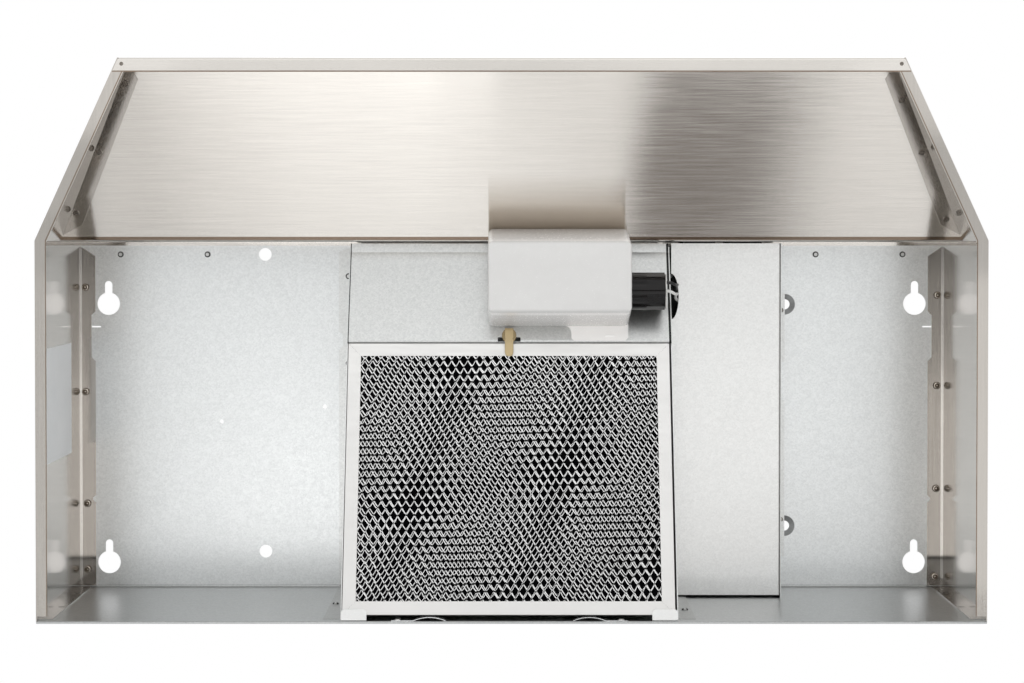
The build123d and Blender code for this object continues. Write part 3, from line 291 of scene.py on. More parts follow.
world = bpy.data.worlds.new("white_room")
bpy.context.scene.world = world
world.use_nodes = True
tree = world.node_tree
tree.nodes.clear()
output = tree.nodes.new("ShaderNodeOutputWorld")
seen = tree.nodes.new("ShaderNodeBackground")
seen.inputs["Color"].default_value = (1, 1, 1, 1)
lit = tree.nodes.new("ShaderNodeBackground")
lit.inputs["Color"].default_value = (0.98, 0.99, 1, 1)
lit.inputs["Strength"].default_value = 0.92
ray = tree.nodes.new("ShaderNodeLightPath")
choose = tree.nodes.new("ShaderNodeMixShader")
straight = reckon(tree, "MAXIMUM", ray.outputs["Is Camera Ray"], ray.outputs["Is Glossy Ray"])
straight = reckon(tree, "MAXIMUM", straight, ray.outputs["Is Transmission Ray"])
tree.links.new(straight, choose.inputs["Fac"])
tree.links.new(lit.outputs["Background"], choose.inputs[1])
tree.links.new(seen.outputs["Background"], choose.inputs[2])
tree.links.new(choose.outputs["Shader"], output.inputs["Surface"])


def softbox(name, place, target, size, radiance, colour=(1, 1, 1), mirrored=True):
    """A soft rectangular lamp aimed at a point, as bright to look at as `radiance` says."""
    lamp = bpy.data.lights.new(name, "AREA")
    lamp.shape = "RECTANGLE"
    lamp.size, lamp.size_y = size
    lamp.energy = radiance * math.pi * size[0] * size[1]
    lamp.color = colour
    body = placed(name, lamp)
    body.location = place
    body.rotation_euler = (Vector(target) - Vector(place)).to_track_quat("-Z", "Y").to_euler()
    body.visible_camera = False
    body.visible_glossy = mirrored


softbox("floor_softbox", (0.03, 0.39, -1.70), (0.03, 0.39, 0), (1.60, 1.0), 0.365, (1, 0.99, 0.975))
softbox("bright_softbox", (-0.34, 0.31, -1.69), (-0.34, 0.31, 0), (0.62, 0.46), 0.43)
softbox("front_fill", (0, -1.9, -1.38), hood_centre, (1.6, 0.8), 3.2, mirrored=False)
softbox("rear_fill", (0, 1.6, -1.3), hood_centre, (1.2, 0.6), 2.4, mirrored=False)
softbox("front_softbox", (0, -1.06, -1.70), (0, -1.06, 0), (1.8, 1.44), 0.24)
softbox("room_softbox", (0.3, -1.4, 1.5), hood_centre, (1.6, 1.2), 1.2)


# ------------------------ brushed stainless shell
# The visor and the two side walls are one grade of stainless sheet with a brushed face: the grain
# runs from side to side on the visor, and from front to back on the side walls. Light and shade are
# painted into the colour in places: the side walls are a darker, shaded copy; lines of painted shade
# lie at the inner edges of the hems and at the slope's top bend; a painted reflection of the lens lies
# on the slope; and a painted highlight runs along the bend over each side wall.
front_y, rim_z = cad_box[0][1], cad_box[0][2]
half_wide = cad_box[1][0]
face_y = -0.1703002  # the vertical front face
bend_run = 0.0030  # from that face to the foot of the slope
slope_rise, slope_level = 0.29495, -0.02026  # the slope's middle surface: Z = rise * Y + level
side_taper = 0.4555  # how far a side wall turns in, for its length in front of the vertical face
hem_high = 0.001  # the hem round the rim lies no higher than this above the lowest level
visor_hem = (0.0104, 0.0117)  # the inner edge of the visor's hem, back from the lip
side_hem = (0.0083, 0.0092)  # and that of a side wall's hem, inwards from its outer face
flange_corner = (0.0009, 0.0019)  # the inner bend over a side wall, inwards and down
reflection_x = (-0.0194, 0.0954)  # the two ends of the lens
reflection_y = (-0.226, -0.193)  # from the bare slope to the full tone of the painted reflection
soft_edge = 0.0006
# The tone of the painted highlight along the bend over each side wall.
bend_highlight_tone = (0.97, 0.95, 0.92)
# The tone of the painted shade at the hem edges and at the slope's top bend.
shade_line_tone = (0.25, 0.19, 0.145)
# The tone of the lens's painted reflection on the slope.
lens_reflection_tone = (0.45, 0.395, 0.335)

brushed_grain, given, result = start_effect(
    "brushed_grain",
    [("Place", "Vector", None), ("Along", "Vector", (3, 900, 900))],
    ["Streak", "Band", "Smudge"],
)
for label, share, detail in (("Streak", 1.0, 3.0), ("Band", 0.40, 2.0)):
    scaled = brushed_grain.nodes.new("ShaderNodeVectorMath")
    scaled.operation = "SCALE"
    scaled.inputs["Scale"].default_value = share
    stretched = brushed_grain.nodes.new("ShaderNodeVectorMath")
    stretched.operation = "MULTIPLY"
    brushed_grain.links.new(given["Along"], scaled.inputs[0])
    brushed_grain.links.new(scaled.outputs["Vector"], stretched.inputs[0])
    brushed_grain.links.new(given["Place"], stretched.inputs[1])
    brushed_grain.links.new(cloud(brushed_grain, stretched.outputs["Vector"], 1.0, detail), result[label])
brushed_grain.links.new(cloud(brushed_grain, given["Place"], 6.0, 4.0), result["Smudge"])


def brushed(name, dark, light, along, rough, axis, marks):
    """Brushed metal: long fine streaks, a few broad ones, faint smudges, and places of another tone."""
    material, tree, shader, place = start_material(name, light, metallic=1.0)
    grain = place_effect(tree, brushed_grain, place, Along=along)
    streaks = reckon(tree, "MULTIPLY_ADD", grain["Band"], 0.5, spread(tree, grain["Streak"], 0.0, 0.5))
    colour = between(tree, streaks, dark, light)
    at = axes(tree, place)
    for where, tone in marks:
        colour = between(tree, where(tree, at), colour, tone)
    feed(shader, "Base Color", colour)
    smudges = spread(tree, grain["Smudge"], -0.02, 0.03)
    feed(shader, "Roughness", reckon(tree, "ADD", spread(tree, grain["Streak"], *rough), smudges))
    relief(tree, shader, grain["Streak"], 0.000004)
    lay = tree.nodes.new("ShaderNodeTangent")
    lay.direction_type = "RADIAL"
    lay.axis = axis
    shader.inputs["Anisotropic"].default_value = 0.93
    feed(shader, "Tangent", lay.outputs["Tangent"])
    return material


def inside(tree, value, low, high):
    """1 where the value lies between the two limits, 0 elsewhere."""
    return product(tree, reckon(tree, "GREATER_THAN", value, low), reckon(tree, "LESS_THAN", value, high))


def at_rim(tree, at):
    """1 on the hem round the open underside, 0 above it."""
    return reckon(tree, "LESS_THAN", at["Z"], rim_z + hem_high)


def under_slope(tree, at):
    """1 on the underside of the sloping sheet, 0 on its upper side."""
    level = reckon(tree, "MULTIPLY_ADD", at["Y"], -slope_rise, at["Z"])
    return reckon(tree, "LESS_THAN", level, slope_level)


def visor_shade_lines(tree, at):
    """Painted shade along the inner edge of the hem under the lip, and along the bend at the top of the
    slope.
    """
    hem_shade_line = inside(tree, at["Y"], *(front_y + back for back in visor_hem))
    top_bend_shade = inside(tree, at["Y"], face_y - bend_run, face_y - 0.0002)
    hem_shade_line = product(tree, hem_shade_line, at_rim(tree, at))
    return reckon(tree, "MAXIMUM", hem_shade_line, product(tree, top_bend_shade, under_slope(tree, at)))


def side_hem_shade_line(tree, at):
    """Painted shade along the inner edge of the hem, which turns in towards the lip in front of the
    vertical face.
    """
    before_face = reckon(tree, "MINIMUM", reckon(tree, "SUBTRACT", at["Y"], face_y), 0.0)
    outwards = reckon(tree, "ABSOLUTE", at["X"])
    outwards = reckon(tree, "MULTIPLY_ADD", before_face, -side_taper, outwards)
    hem_shade_line = inside(tree, outwards, half_wide - side_hem[1], half_wide - side_hem[0])
    return product(tree, hem_shade_line, at_rim(tree, at))


def side_flange_highlight(tree, at):
    """A painted highlight along the bend between a side wall and its top flange."""
    near, far = flange_corner
    across = inside(tree, reckon(tree, "ABSOLUTE", at["X"]), half_wide - far, half_wide - near)
    return product(tree, across, inside(tree, at["Z"], -far, -near))


def lens_reflection_on_slope(tree, at):
    """A painted reflection of the lens on the underside of the slope, beside the lens."""
    left, right = reflection_x
    left_end = spread(tree, at["X"], 0.0, 1.0, left - soft_edge, left + soft_edge)
    right_end = spread(tree, at["X"], 1.0, 0.0, right - soft_edge, right + soft_edge)
    nearer = spread(tree, at["Y"], 0.0, 1.0, *reflection_y)
    on_slope = reckon(tree, "LESS_THAN", at["Y"], face_y - bend_run)
    return product(tree, left_end, right_end, nearer, on_slope, under_slope(tree, at))


def dress(node, material):
    """Gives a carried-over piece its finish."""
    mesh = nodes[node].data
    mesh.materials.clear()
    mesh.materials.append(material)


visor_steel = brushed(
    "visor_stainless", (0.675, 0.644, 0.605), (0.79, 0.755, 0.713), (22, 1300, 1300), (0.11, 0.16), "X",
    [(lens_reflection_on_slope, lens_reflection_tone), (visor_shade_lines, shade_line_tone)],
)
# The side walls take a darker copy of the visor's stainless: painted shade.
sides_in_painted_shade = brushed(
    "stainless_sides_shaded", (0.47, 0.442, 0.41), (0.57, 0.537, 0.50), (1300, 22, 1300), (0.07, 0.12), "Y",
    [(side_hem_shade_line, shade_line_tone), (side_flange_highlight, bend_highlight_tone)],
)
dress("front_panel", visor_steel)
dress("left_side_panel", sides_in_painted_shade)
dress("right_side_panel", sides_in_painted_shade)


# ------------------------ galvanised sheet metal
# The pan, the fan housing, the lamp plate, the deck and the wiring compartment are hot-dip
# galvanised sheet with a fine, low spangle: small crystals that differ a little in tone and gloss.
# Painted shade darkens the back wall, the inside of the wiring compartment and the two dished holes.
sheet = 0.0008
housing_tones = (0.66, 0.668, 0.66), (0.80, 0.805, 0.795)
dish_places = (0.241, -0.1138), (0.241, 0.0821)
dish_radius = 0.0091
seam_wide = 0.0019  # the shadow along the right edge of the lamp plate
flange_z = -0.045  # the housing walls' top flanges lie above this

spangle, given, result = start_effect(
    "spangle",
    [("Place", "Vector", None), ("Fineness", "Float", 400.0)],
    ["Tone", "Gloss"],
)
wobble = spangle.nodes.new("ShaderNodeTexNoise")
sway = spangle.nodes.new("ShaderNodeVectorMath")
sway.operation = "MULTIPLY_ADD"
sway.inputs[1].default_value = (0.002, 0.002, 0.002)
crystal = spangle.nodes.new("ShaderNodeTexVoronoi")
tones = spangle.nodes.new("ShaderNodeSeparateColor")
spangle.links.new(given["Place"], wobble.inputs["Vector"])
spangle.links.new(given["Fineness"], wobble.inputs["Scale"])
spangle.links.new(given["Fineness"], crystal.inputs["Scale"])
spangle.links.new(wobble.outputs["Color"], sway.inputs[0])
spangle.links.new(given["Place"], sway.inputs[2])
spangle.links.new(sway.outputs["Vector"], crystal.inputs["Vector"])
spangle.links.new(crystal.outputs["Color"], tones.inputs["Color"])
spangle.links.new(tones.outputs["Red"], result["Tone"])
spangle.links.new(tones.outputs["Green"], result["Gloss"])


def zinc_coated(name, dark, light, shaded=(), rough=(0.30, 0.37)):
    """Galvanised sheet: a fine spangle over a coarser one, a little haze, and places of painted shade."""
    material, tree, shader, place = start_material(name, light, metallic=1.0)
    fine = place_effect(tree, spangle, place, Fineness=820.0)
    coarse = place_effect(tree, spangle, place, Fineness=330.0)
    haze = place_effect(tree, mottle, place, Fineness=60.0)
    tone = reckon(tree, "MULTIPLY_ADD", fine["Tone"], 0.7, spread(tree, coarse["Tone"], 0.0, 0.2, 0.0, 1.0))
    tone = reckon(tree, "ADD", tone, spread(tree, haze["Broad"], -0.05, 0.15))
    colour = between(tree, tone, dark, light)
    at = axes(tree, place)
    for where, share in shaded:
        shaded_colour = between(tree, tone, *(tuple(value * share for value in end) for end in (dark, light)))
        colour = between(tree, where(tree, at), colour, shaded_colour)
    feed(shader, "Base Color", colour)
    feed(shader, "Roughness", spread(tree, fine["Gloss"], *rough, 0.0, 1.0))
    relief(tree, shader, fine["Tone"], 0.000006)
    return material


def nearest(tree, at, spots):
    """The distance, across and along, to the nearest of the given spots."""
    best = 1.0
    for x, y in spots:
        across = reckon(tree, "SUBTRACT", at["X"], x)
        along = reckon(tree, "SUBTRACT", at["Y"], y)
        away = reckon(tree, "MULTIPLY_ADD", across, across, product(tree, along, along))
        best = reckon(tree, "MINIMUM", away, best)
    return reckon(tree, "SQRT", best)


def back_wall_painted_shade(tree, at):
    """Painted shade on the back wall, darker than the top."""
    wall_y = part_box("top_back_pan")[1][1] - 0.0021
    return spread(tree, at["Y"], 0.0, 1.0, wall_y - 0.0012, wall_y)


def compartment_painted_shade(tree, at):
    """Painted shade on the underside of the pan inside the wiring compartment."""
    low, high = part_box("wiring_cover")
    across = inside(tree, at["X"], low[0], high[0])
    along = inside(tree, at["Y"], low[1], high[1])
    return product(tree, across, along, reckon(tree, "LESS_THAN", at["Z"], -0.0005))


def dish_painted_shade(tree, at):
    """Painted shade in the pressed dishes of the two round holes beside the wiring cover."""
    away = nearest(tree, at, dish_places)
    dished = spread(tree, away, 1.0, 0.0, dish_radius - 0.0003, dish_radius + 0.0003)
    return product(tree, dished, reckon(tree, "LESS_THAN", at["Z"], -0.00003))


def plate_seams(tree, at):
    """The shadow lines where the lamp plate meets the two housing walls."""
    low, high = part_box("lamp_plate")
    left = reckon(tree, "LESS_THAN", at["X"], low[0] + sheet)
    return reckon(tree, "MAXIMUM", left, reckon(tree, "GREATER_THAN", at["X"], high[0] - seam_wide))


def compartment_flange_shade(tree, at):
    """Painted shade on the top flange of the right housing wall, like that on the pan inside the wiring
    compartment.
    """
    beyond = reckon(tree, "GREATER_THAN", at["X"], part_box("lamp_plate")[1][0] + sheet)
    upper = reckon(tree, "GREATER_THAN", at["Z"], flange_z)
    nearer = reckon(tree, "LESS_THAN", at["Y"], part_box("wiring_cover")[1][1] - 0.002)
    return product(tree, beyond, upper, nearer)


dress("top_back_pan", zinc_coated(
    "galvanised_pan", (0.71, 0.725, 0.725), (0.85, 0.865, 0.865),
    [(back_wall_painted_shade, 0.66), (compartment_painted_shade, 0.10), (dish_painted_shade, 0.30)], (0.29, 0.35),
))
dress("lamp_plate", zinc_coated(
    "galvanised_plate", (0.63, 0.638, 0.63), (0.765, 0.77, 0.76), [(plate_seams, 0.05)],
))
dress("housing_left_wall", zinc_coated("galvanised_left_wall", *housing_tones, [(back_wall_painted_shade, 0.64)]))
dress("housing_right_wall", zinc_coated(
    "galvanised_right_wall", *housing_tones, [(back_wall_painted_shade, 0.64), (compartment_flange_shade, 0.05)],
))
galvanised = zinc_coated("galvanised", *housing_tones)
for name in ("wiring_box_wall", "fan_deck", "motor_bracket"):
    dress(name, galvanised)
dress("wiring_cover", zinc_coated(
    "galvanised_cover", (0.77, 0.77, 0.76), (0.88, 0.88, 0.87), rough=(0.29, 0.35),
))
zinc_plate = zinc_coated("bright_zinc_plate", (0.86, 0.86, 0.85), (0.90, 0.90, 0.89), rough=(0.34, 0.40))
dress("left_filter_bracket", zinc_plate)
dress("right_filter_bracket", zinc_plate)


# ------------------------ blank plate on the left wall
# A thin bare plate of foil, glued to the inside of the left wall. It has the slight waves and the
# dull sheen of foil that was rubbed on by hand.
dress("label_plate", patchy(
    "label_foil", (0.76, 0.77, 0.78), (0.84, 0.845, 0.85), 260.0, "Broad", (0.33, 0.45),
    depth=0.00015, bumps="Broad", metallic=0.1,
)[0])


# ------------------------ screws, rivets and clinches
# Plated steel fasteners. The screws through the side flanges have darkened, as such screws do over
# a hob; the rivets and clinches are brighter. A painted highlight lies on the middle and a ring of
# each screw head, and a ring of painted shade lies round each clinch and flat rivet.
screw_head_high = 0.0022


def plated(name, dark, light, low, high, fineness=900.0):
    """Plated or bare small metal part, a little uneven in tone and gloss."""
    material, tree, shader, place = start_material(name, light, metallic=1.0)
    patches = place_effect(tree, mottle, place, Fineness=fineness)
    feed(shader, "Base Color", between(tree, spread(tree, patches["Broad"], 0.0, 1.0), dark, light))
    feed(shader, "Roughness", spread(tree, patches["Fine"], low, high))
    relief(tree, shader, patches["Fine"], 0.00001)
    return material


dark_screw = plated("dark_screw", (0.05, 0.035, 0.025), (0.14, 0.10, 0.07), 0.22, 0.38)
# A painted highlight for the bright middle and ring of each screw head.
painted_highlight_metal = plated("painted_highlight_metal", (0.62, 0.56, 0.48), (0.85, 0.79, 0.71), 0.14, 0.24)
bright_rivet = plated("bright_rivet", (0.45, 0.44, 0.42), (0.62, 0.61, 0.59), 0.28, 0.42)
dull_rivet = plated("dull_rivet", (0.16, 0.14, 0.12), (0.30, 0.27, 0.24), 0.20, 0.32)


def places_of(node, reach=0.012):
    """The lowest and highest corner of each separate fastener in a node."""
    found = []
    for vertex in nodes[node].data.vertices:
        spot = vertex.co
        for low, high in found:
            if all(low[i] - reach < spot[i] < high[i] + reach for i in range(3)):
                for i in range(3):
                    low[i] = min(low[i], spot[i])
                    high[i] = max(high[i], spot[i])
                break
        else:
            found.append((list(spot), list(spot)))
    return found


def middle_of(low, high):
    """Where the middle of a fastener lies, across and along."""
    return (low[0] + high[0]) / 2, (low[1] + high[1]) / 2


def tube(rings, count, start=0):
    """The sides between each ring of `count` corners and the next ring."""
    sides = []
    for ring in range(rings - 1):
        for step in range(count):
            a, b = start + ring * count + step, start + ring * count + (step + 1) % count
            sides.append((a, a + count, b + count, b))
    return sides


def crossed_screw(low, high, turn):
    """A pan-head screw hanging head down: domed head with a cross recess, and a plain shank."""
    radius = (high[0] - low[0]) / 2
    x_middle, y_middle = middle_of(low, high)
    neck = low[2] + screw_head_high
    rings, steps = 14, 48
    angles = [2 * math.pi * step / steps for step in range(steps)]
    corners = []
    for ring in range(rings + 1):
        share = ring / rings
        for angle in angles:
            x, y = share * math.cos(angle), share * math.sin(angle)
            depth = screw_head_high * (1 - 0.42 * share**2.5)
            if min(abs(x), abs(y)) < 0.2 and share < 0.62:
                depth -= screw_head_high * 0.6 * (1 - share * 0.4)
            if share > 0.97:
                depth = screw_head_high * 0.25
            spot = (radius * share * math.cos(angle + turn), radius * share * math.sin(angle + turn))
            corners.append((x_middle + spot[0], y_middle + spot[1], neck - depth))
    sides = tube(rings + 1, steps)
    for bottom, top, wide in ((neck - screw_head_high / 4, neck, 1.0), (neck, high[2], 0.6)):
        start = len(corners)
        corners += [
            (x_middle + radius * wide * math.cos(angle), y_middle + radius * wide * math.sin(angle), z)
            for z in (bottom, top) for angle in angles
        ]
        sides += tube(2, steps, start)
        sides.append(tuple(start + steps + step for step in range(steps)))
    return corners, sides


def box_solid(low, high):
    """Corners and sides of an upright box."""
    rim = ((low[0], low[1]), (high[0], low[1]), (high[0], high[1]), (low[0], high[1]))
    return [(x, y, z) for z in (low[2], high[2]) for x, y in rim], box_sides


box_sides = [(0, 3, 2, 1), (4, 5, 6, 7), (0, 1, 5, 4), (1, 2, 6, 5), (2, 3, 7, 6), (3, 0, 4, 7)]


def joined(name, solids, *materials):
    """One object from a list of (corners, sides)."""
    points, faces = [], []
    for corners, sides in solids:
        start = len(points)
        points += corners
        faces += [tuple(start + index for index in side) for side in sides]
    mesh = bpy.data.meshes.new(name)
    mesh.from_pydata(points, [], faces)
    mesh.validate()
    for material in materials:
        mesh.materials.append(material)
    return placed(name, mesh)


chance = random.Random(3)
for node, metal in (("flange_screws", dark_screw), ("cover_screws", bright_rivet)):
    spots = places_of(node)
    screws = [crossed_screw(*ends, chance.uniform(0, math.pi)) for ends in spots]
    heads = joined(node + "_crossed", screws, metal, painted_highlight_metal)
    for side in heads.data.polygons:
        away, wide = min(
            (math.dist(side.center.xy, middle_of(low, high)), high[0] - low[0]) for low, high in spots
        )
        share = 2 * away / wide
        # The middle and a ring of each head take the painted highlight.
        side.material_index = int(share < 0.2 or 0.62 < share < 0.76)
    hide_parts(node)
    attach(heads, "hood")


def painted_shade_ring(node):
    """Clinches and rivets pressed flat into the sheet: a bright middle inside a ring of painted shade."""
    material, tree, shader, place = start_material(node + "_ringed", (0.6, 0.6, 0.6), 1.0, 0.34)
    spots = places_of(node)
    radius = (spots[0][1][0] - spots[0][0][0]) / 2
    away = nearest(tree, axes(tree, place), [middle_of(*ends) for ends in spots])
    patches = place_effect(tree, mottle, place, Fineness=1500.0)
    middle = between(tree, patches["Fine"], (0.56, 0.56, 0.55), (0.72, 0.72, 0.71))
    ring = spread(tree, away, 0.0, 1.0, 0.50 * radius, 0.68 * radius)
    # The dark ring is painted shade.
    feed(shader, "Base Color", between(tree, ring, middle, (0.07, 0.07, 0.068)))
    dress(node, material)


painted_shade_ring("housing_rivets")
painted_shade_ring("front_clinches")
dress("visor_rivets", dull_rivet)
for name in (
    "bracket_rivets", "spring_rivets", "motor_screws", "motor_spacers",
    "lower_bearing_bracket", "upper_bearing_bracket", "socket_bracket",
):
    dress(name, bright_rivet)


# ------------------------ motor
# A shaded-pole motor on a bridge over the fan: a stack of steel plates, a coil of enamelled wire on
# its rear limb, a cast rotor and a ground shaft.
wire_turns = 26
wire_thick = 0.00105
wire_corner = 0.0055
wrap = 0.007  # how thick the winding is round the limb
shell = 0.0007  # how deep the taped bobbin lies inside the wire

core, tree, shader, place = start_material("core_steel", (0.24, 0.25, 0.27), metallic=0.8)
plates = tree.nodes.new("ShaderNodeTexWave")
plates.bands_direction = "Z"
plates.inputs["Scale"].default_value = 320.0
plates.inputs["Distortion"].default_value = 0.6
tree.links.new(place, plates.inputs["Vector"])
feed(shader, "Base Color", between(tree, plates.outputs["Fac"], (0.16, 0.165, 0.18), (0.30, 0.31, 0.33)))
feed(shader, "Roughness", spread(tree, plates.outputs["Fac"], 0.35, 0.5, 0.0, 1.0))
relief(tree, shader, plates.outputs["Fac"], 0.00008)
dress("motor_stator", core)
dress("motor_rotor", core)
dress("motor_shaft", plated("ground_shaft", (0.58, 0.57, 0.56), (0.72, 0.71, 0.70), 0.12, 0.22, 1500.0))

low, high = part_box("motor_coil")
centre_y = (low[1] + high[1]) / 2
centre_z = (low[2] + high[2]) / 2
half_y = (high[1] - low[1]) / 2 - wire_thick / 2
half_z = (high[2] - low[2]) / 2 - wire_thick / 2


def coil_line():
    """One wire wound round the limb, from one end of the bobbin to the other."""
    points = []
    corner_steps = 5
    for turn in range(wire_turns):
        loop = []
        for quarter, (sy, sz) in enumerate(((1, 1), (-1, 1), (-1, -1), (1, -1))):
            for step in range(corner_steps):
                angle = (quarter + step / (corner_steps - 1)) * math.pi / 2
                y = sy * (half_y - wire_corner) + wire_corner * math.cos(angle)
                z = sz * (half_z - wire_corner) + wire_corner * math.sin(angle)
                loop.append((y, z))
        for step, (y, z) in enumerate(loop):
            along = (turn + step / len(loop)) / wire_turns
            x = low[0] + wire_thick / 2 + along * (high[0] - low[0] - wire_thick)
            points.append((x, centre_y + y, centre_z + z))
    return points


def drawn_wire(name, kind, points, thick, roundness):
    """A round wire or lead along a line of points."""
    curve = bpy.data.curves.new(name, "CURVE")
    curve.dimensions = "3D"
    curve.bevel_depth = thick / 2
    curve.bevel_resolution = roundness
    line = curve.splines.new(kind)
    line.points.add(len(points) - 1)
    for point, spot in zip(line.points, points):
        point.co = (*spot, 1)
    return placed(name, curve), line


enamel, tree, shader, place = patchy(
    "enamelled_wire", (0.36, 0.12, 0.045), (0.52, 0.21, 0.08), 700.0, rough=(0.22, 0.36), metallic=0.85,
)
shader.inputs["Coat Weight"].default_value = 0.5
coil_wire = drawn_wire("motor_coil_wire", "POLY", coil_line(), wire_thick, 1)[0]
coil_wire.data.materials.append(enamel)
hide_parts("motor_coil")
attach(coil_wire, "hood")

x_0, y_0, z_0 = (value + shell for value in low)
x_1, y_1, z_1 = (value - shell for value in high)
y_low, y_high = low[1] + wrap, high[1] - wrap
z_low, z_high = low[2] + wrap, high[2] - wrap
tape = patchy(
    "coil_tape", (0.42, 0.30, 0.10), (0.58, 0.45, 0.18), 500.0, "Broad", 0.45, depth=0.0001,
)[0]
bobbin = joined("motor_coil_bobbin", [
    box_solid((x_0, y_0, z_high), (x_1, y_1, z_1)),
    box_solid((x_0, y_0, z_0), (x_1, y_1, z_low)),
    box_solid((x_0, y_high, z_low), (x_1, y_1, z_high)),
    box_solid((x_0, y_0, z_low), (x_1, y_low, z_high)),
], tape)
soft = bobbin.modifiers.new("soft_corners", "BEVEL")
soft.width = 0.0035
soft.segments = 2
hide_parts("motor_coil")
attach(bobbin, "hood")


# ------------------------ fan
# One moulding of black nylon with a hub and five pitched blades, pushed onto the motor shaft and
# held there by a clip of spring steel.
def moulded(name, dark, light, low, high, fineness=1200.0, depth=0.00002):
    """Moulded plastic with a fine even texture and slightly uneven gloss."""
    return patchy(name, dark, light, fineness, "Broad", (low, high), "Broad", depth)[0]


dress("fan_blade", moulded("fan_nylon", (0.016, 0.016, 0.017), (0.026, 0.026, 0.028), 0.36, 0.48))
spring_steel = plated("spring_steel", (0.62, 0.63, 0.64), (0.80, 0.81, 0.81), 0.22, 0.34)
dress("fan_hub_clip", spring_steel)


# ------------------------ filter
# A channel frame of aluminium, mitred at its corners, closes over three sheets of expanded
# aluminium and a pad. The two sheets in front are cut to slightly different diamonds and lie
# askew, so that they draw waves of light and dark.
filter_tilt = math.radians(16)
filter_front = (-0.0017, -0.08344, -0.08814)  # the middle of its front edge
filter_place = Matrix.Translation(filter_front) @ Matrix.Rotation(-filter_tilt, 4, "X")
filter_width = 0.2667
filter_length = 0.22225
diamond = (0.0066, 0.0123)  # across, along
diamond_anchor = (-0.081, 0.136)
diamond_rows, diamond_columns = 26, 70  # counted from the anchor
mesh_margin = 0.0045  # how far each sheet reaches in under the frame's lips
strand_wide = 0.00061
strand_thick = 0.00022
strand_stray = 0.00022  # how far a crossing lies from its place, and a strand bows
bond = 0.0010  # half the length of each crossing


def expanded_sheet(name, z_low, z_high, turn, growth, seed, *materials):
    """One sheet of expanded metal in the filter's own axes: sloping strands joined at short bonds."""
    chance = random.Random(seed)
    half_across = diamond[0] / 2
    half_along = diamond[1] / 2
    x_limit = filter_width / 2 - mesh_margin
    y_limits = (mesh_margin, filter_length - mesh_margin)
    twist = Matrix.Rotation(turn, 2)
    spots = {}
    for row in range(-diamond_rows, diamond_rows + 1):
        for column in range(-diamond_columns, diamond_columns + 1):
            if (row + column) % 2:
                continue
            flat = twist @ Vector((column * half_across, row * half_along)) * growth
            flat += Vector(diamond_anchor)
            if abs(flat.x) < x_limit and y_limits[0] < flat.y < y_limits[1]:
                jitter = Vector((chance.uniform(-1, 1), chance.uniform(-1, 1))) * strand_stray
                spots[row, column] = flat + jitter
    solids = []
    bonds = set()

    def strip(start, end, wide, start_z, end_z, roll):
        run = (end - start).normalized()
        side = Vector((-run.y, run.x)) * wide / 2
        lift = wide / 2 * roll
        corners = []
        for drop in (0.0, strand_thick):
            for spot, height in ((start, start_z), (end, end_z)):
                for hand in (-1, 1):
                    flat = spot + side * hand
                    corners.append((flat.x, flat.y, min(max(height + lift * hand + drop, z_low), z_high)))
        order = (0, 1, 3, 2, 4, 5, 7, 6)
        solids.append(([corners[index] for index in order], box_sides))

    low_z = z_low + strand_thick
    high_z = z_high - 2 * strand_thick
    centre_z = (low_z + high_z) / 2
    for (row, column), spot in spots.items():
        bonds.add(len(solids))
        strip(spot - Vector((0, bond)), spot + Vector((0, bond)), strand_wide * 1.3, high_z, low_z, 0.2)
        for hand in (-1, 1):
            other = spots.get((row + 1, column + hand))
            if other is None:
                continue
            wide = strand_wide * chance.uniform(0.85, 1.15) * (1 + 0.2 * hand)
            start = spot + Vector((hand * strand_wide * 0.35, bond * 0.8))
            end = other - Vector((hand * strand_wide * 0.35, bond * 0.8))
            middle = (start + end) / 2 - Vector((hand * strand_stray, 0))
            roll = hand * chance.uniform(0.3, 0.7) * (1 - 0.5 * hand)
            strip(start, middle, wide, low_z, centre_z, roll)
            strip(middle, end, wide, centre_z, high_z, roll * 0.6)
    piece = joined(name, solids, *materials)
    # The crossings take the second material, which is painted shade.
    for side in piece.data.polygons:
        side.material_index = int(side.index // len(box_sides) in bonds)
    piece.data.transform(filter_place)
    return piece


sheet_metal = patchy(
    "expanded_aluminium", (0.93, 0.93, 0.925), (0.985, 0.98, 0.975), 900.0, rough=(0.22, 0.36),
    depth=0.00003, metallic=1.0,
)[0]
# Near-black metal for the crossings: painted shade where the strands break into shadow.
bond_painted_shade = plated("expanded_shaded_bond", (0.04, 0.04, 0.04), (0.14, 0.14, 0.135), 0.25, 0.40)
for seed, (name, levels, turn, growth, node) in enumerate((
    ("filter_front_sheet", (0.00055, 0.00110), 0.0, 1.0, "filter_front_mesh"),
    ("filter_second_sheet", (0.00112, 0.00168), -0.042, 1.038, "filter_front_mesh"),
    ("filter_rear_sheet", (0.00785, 0.00895), 0.0, 1.0, "filter_rear_mesh"),
)):
    piece = expanded_sheet(name, *levels, turn, growth, seed, sheet_metal, bond_painted_shade)
    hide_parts(node)
    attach(piece, "filter")

frame_lip = 0.01075
frame_skin = 0.0005
frame_thick = 0.0095
frame_round = 0.0005
mitre_gap = 0.00014
front_lap = -0.0010  # the front member stands this far towards the lamp plate
left_lap = -0.0011  # and the left one this far towards the housing wall


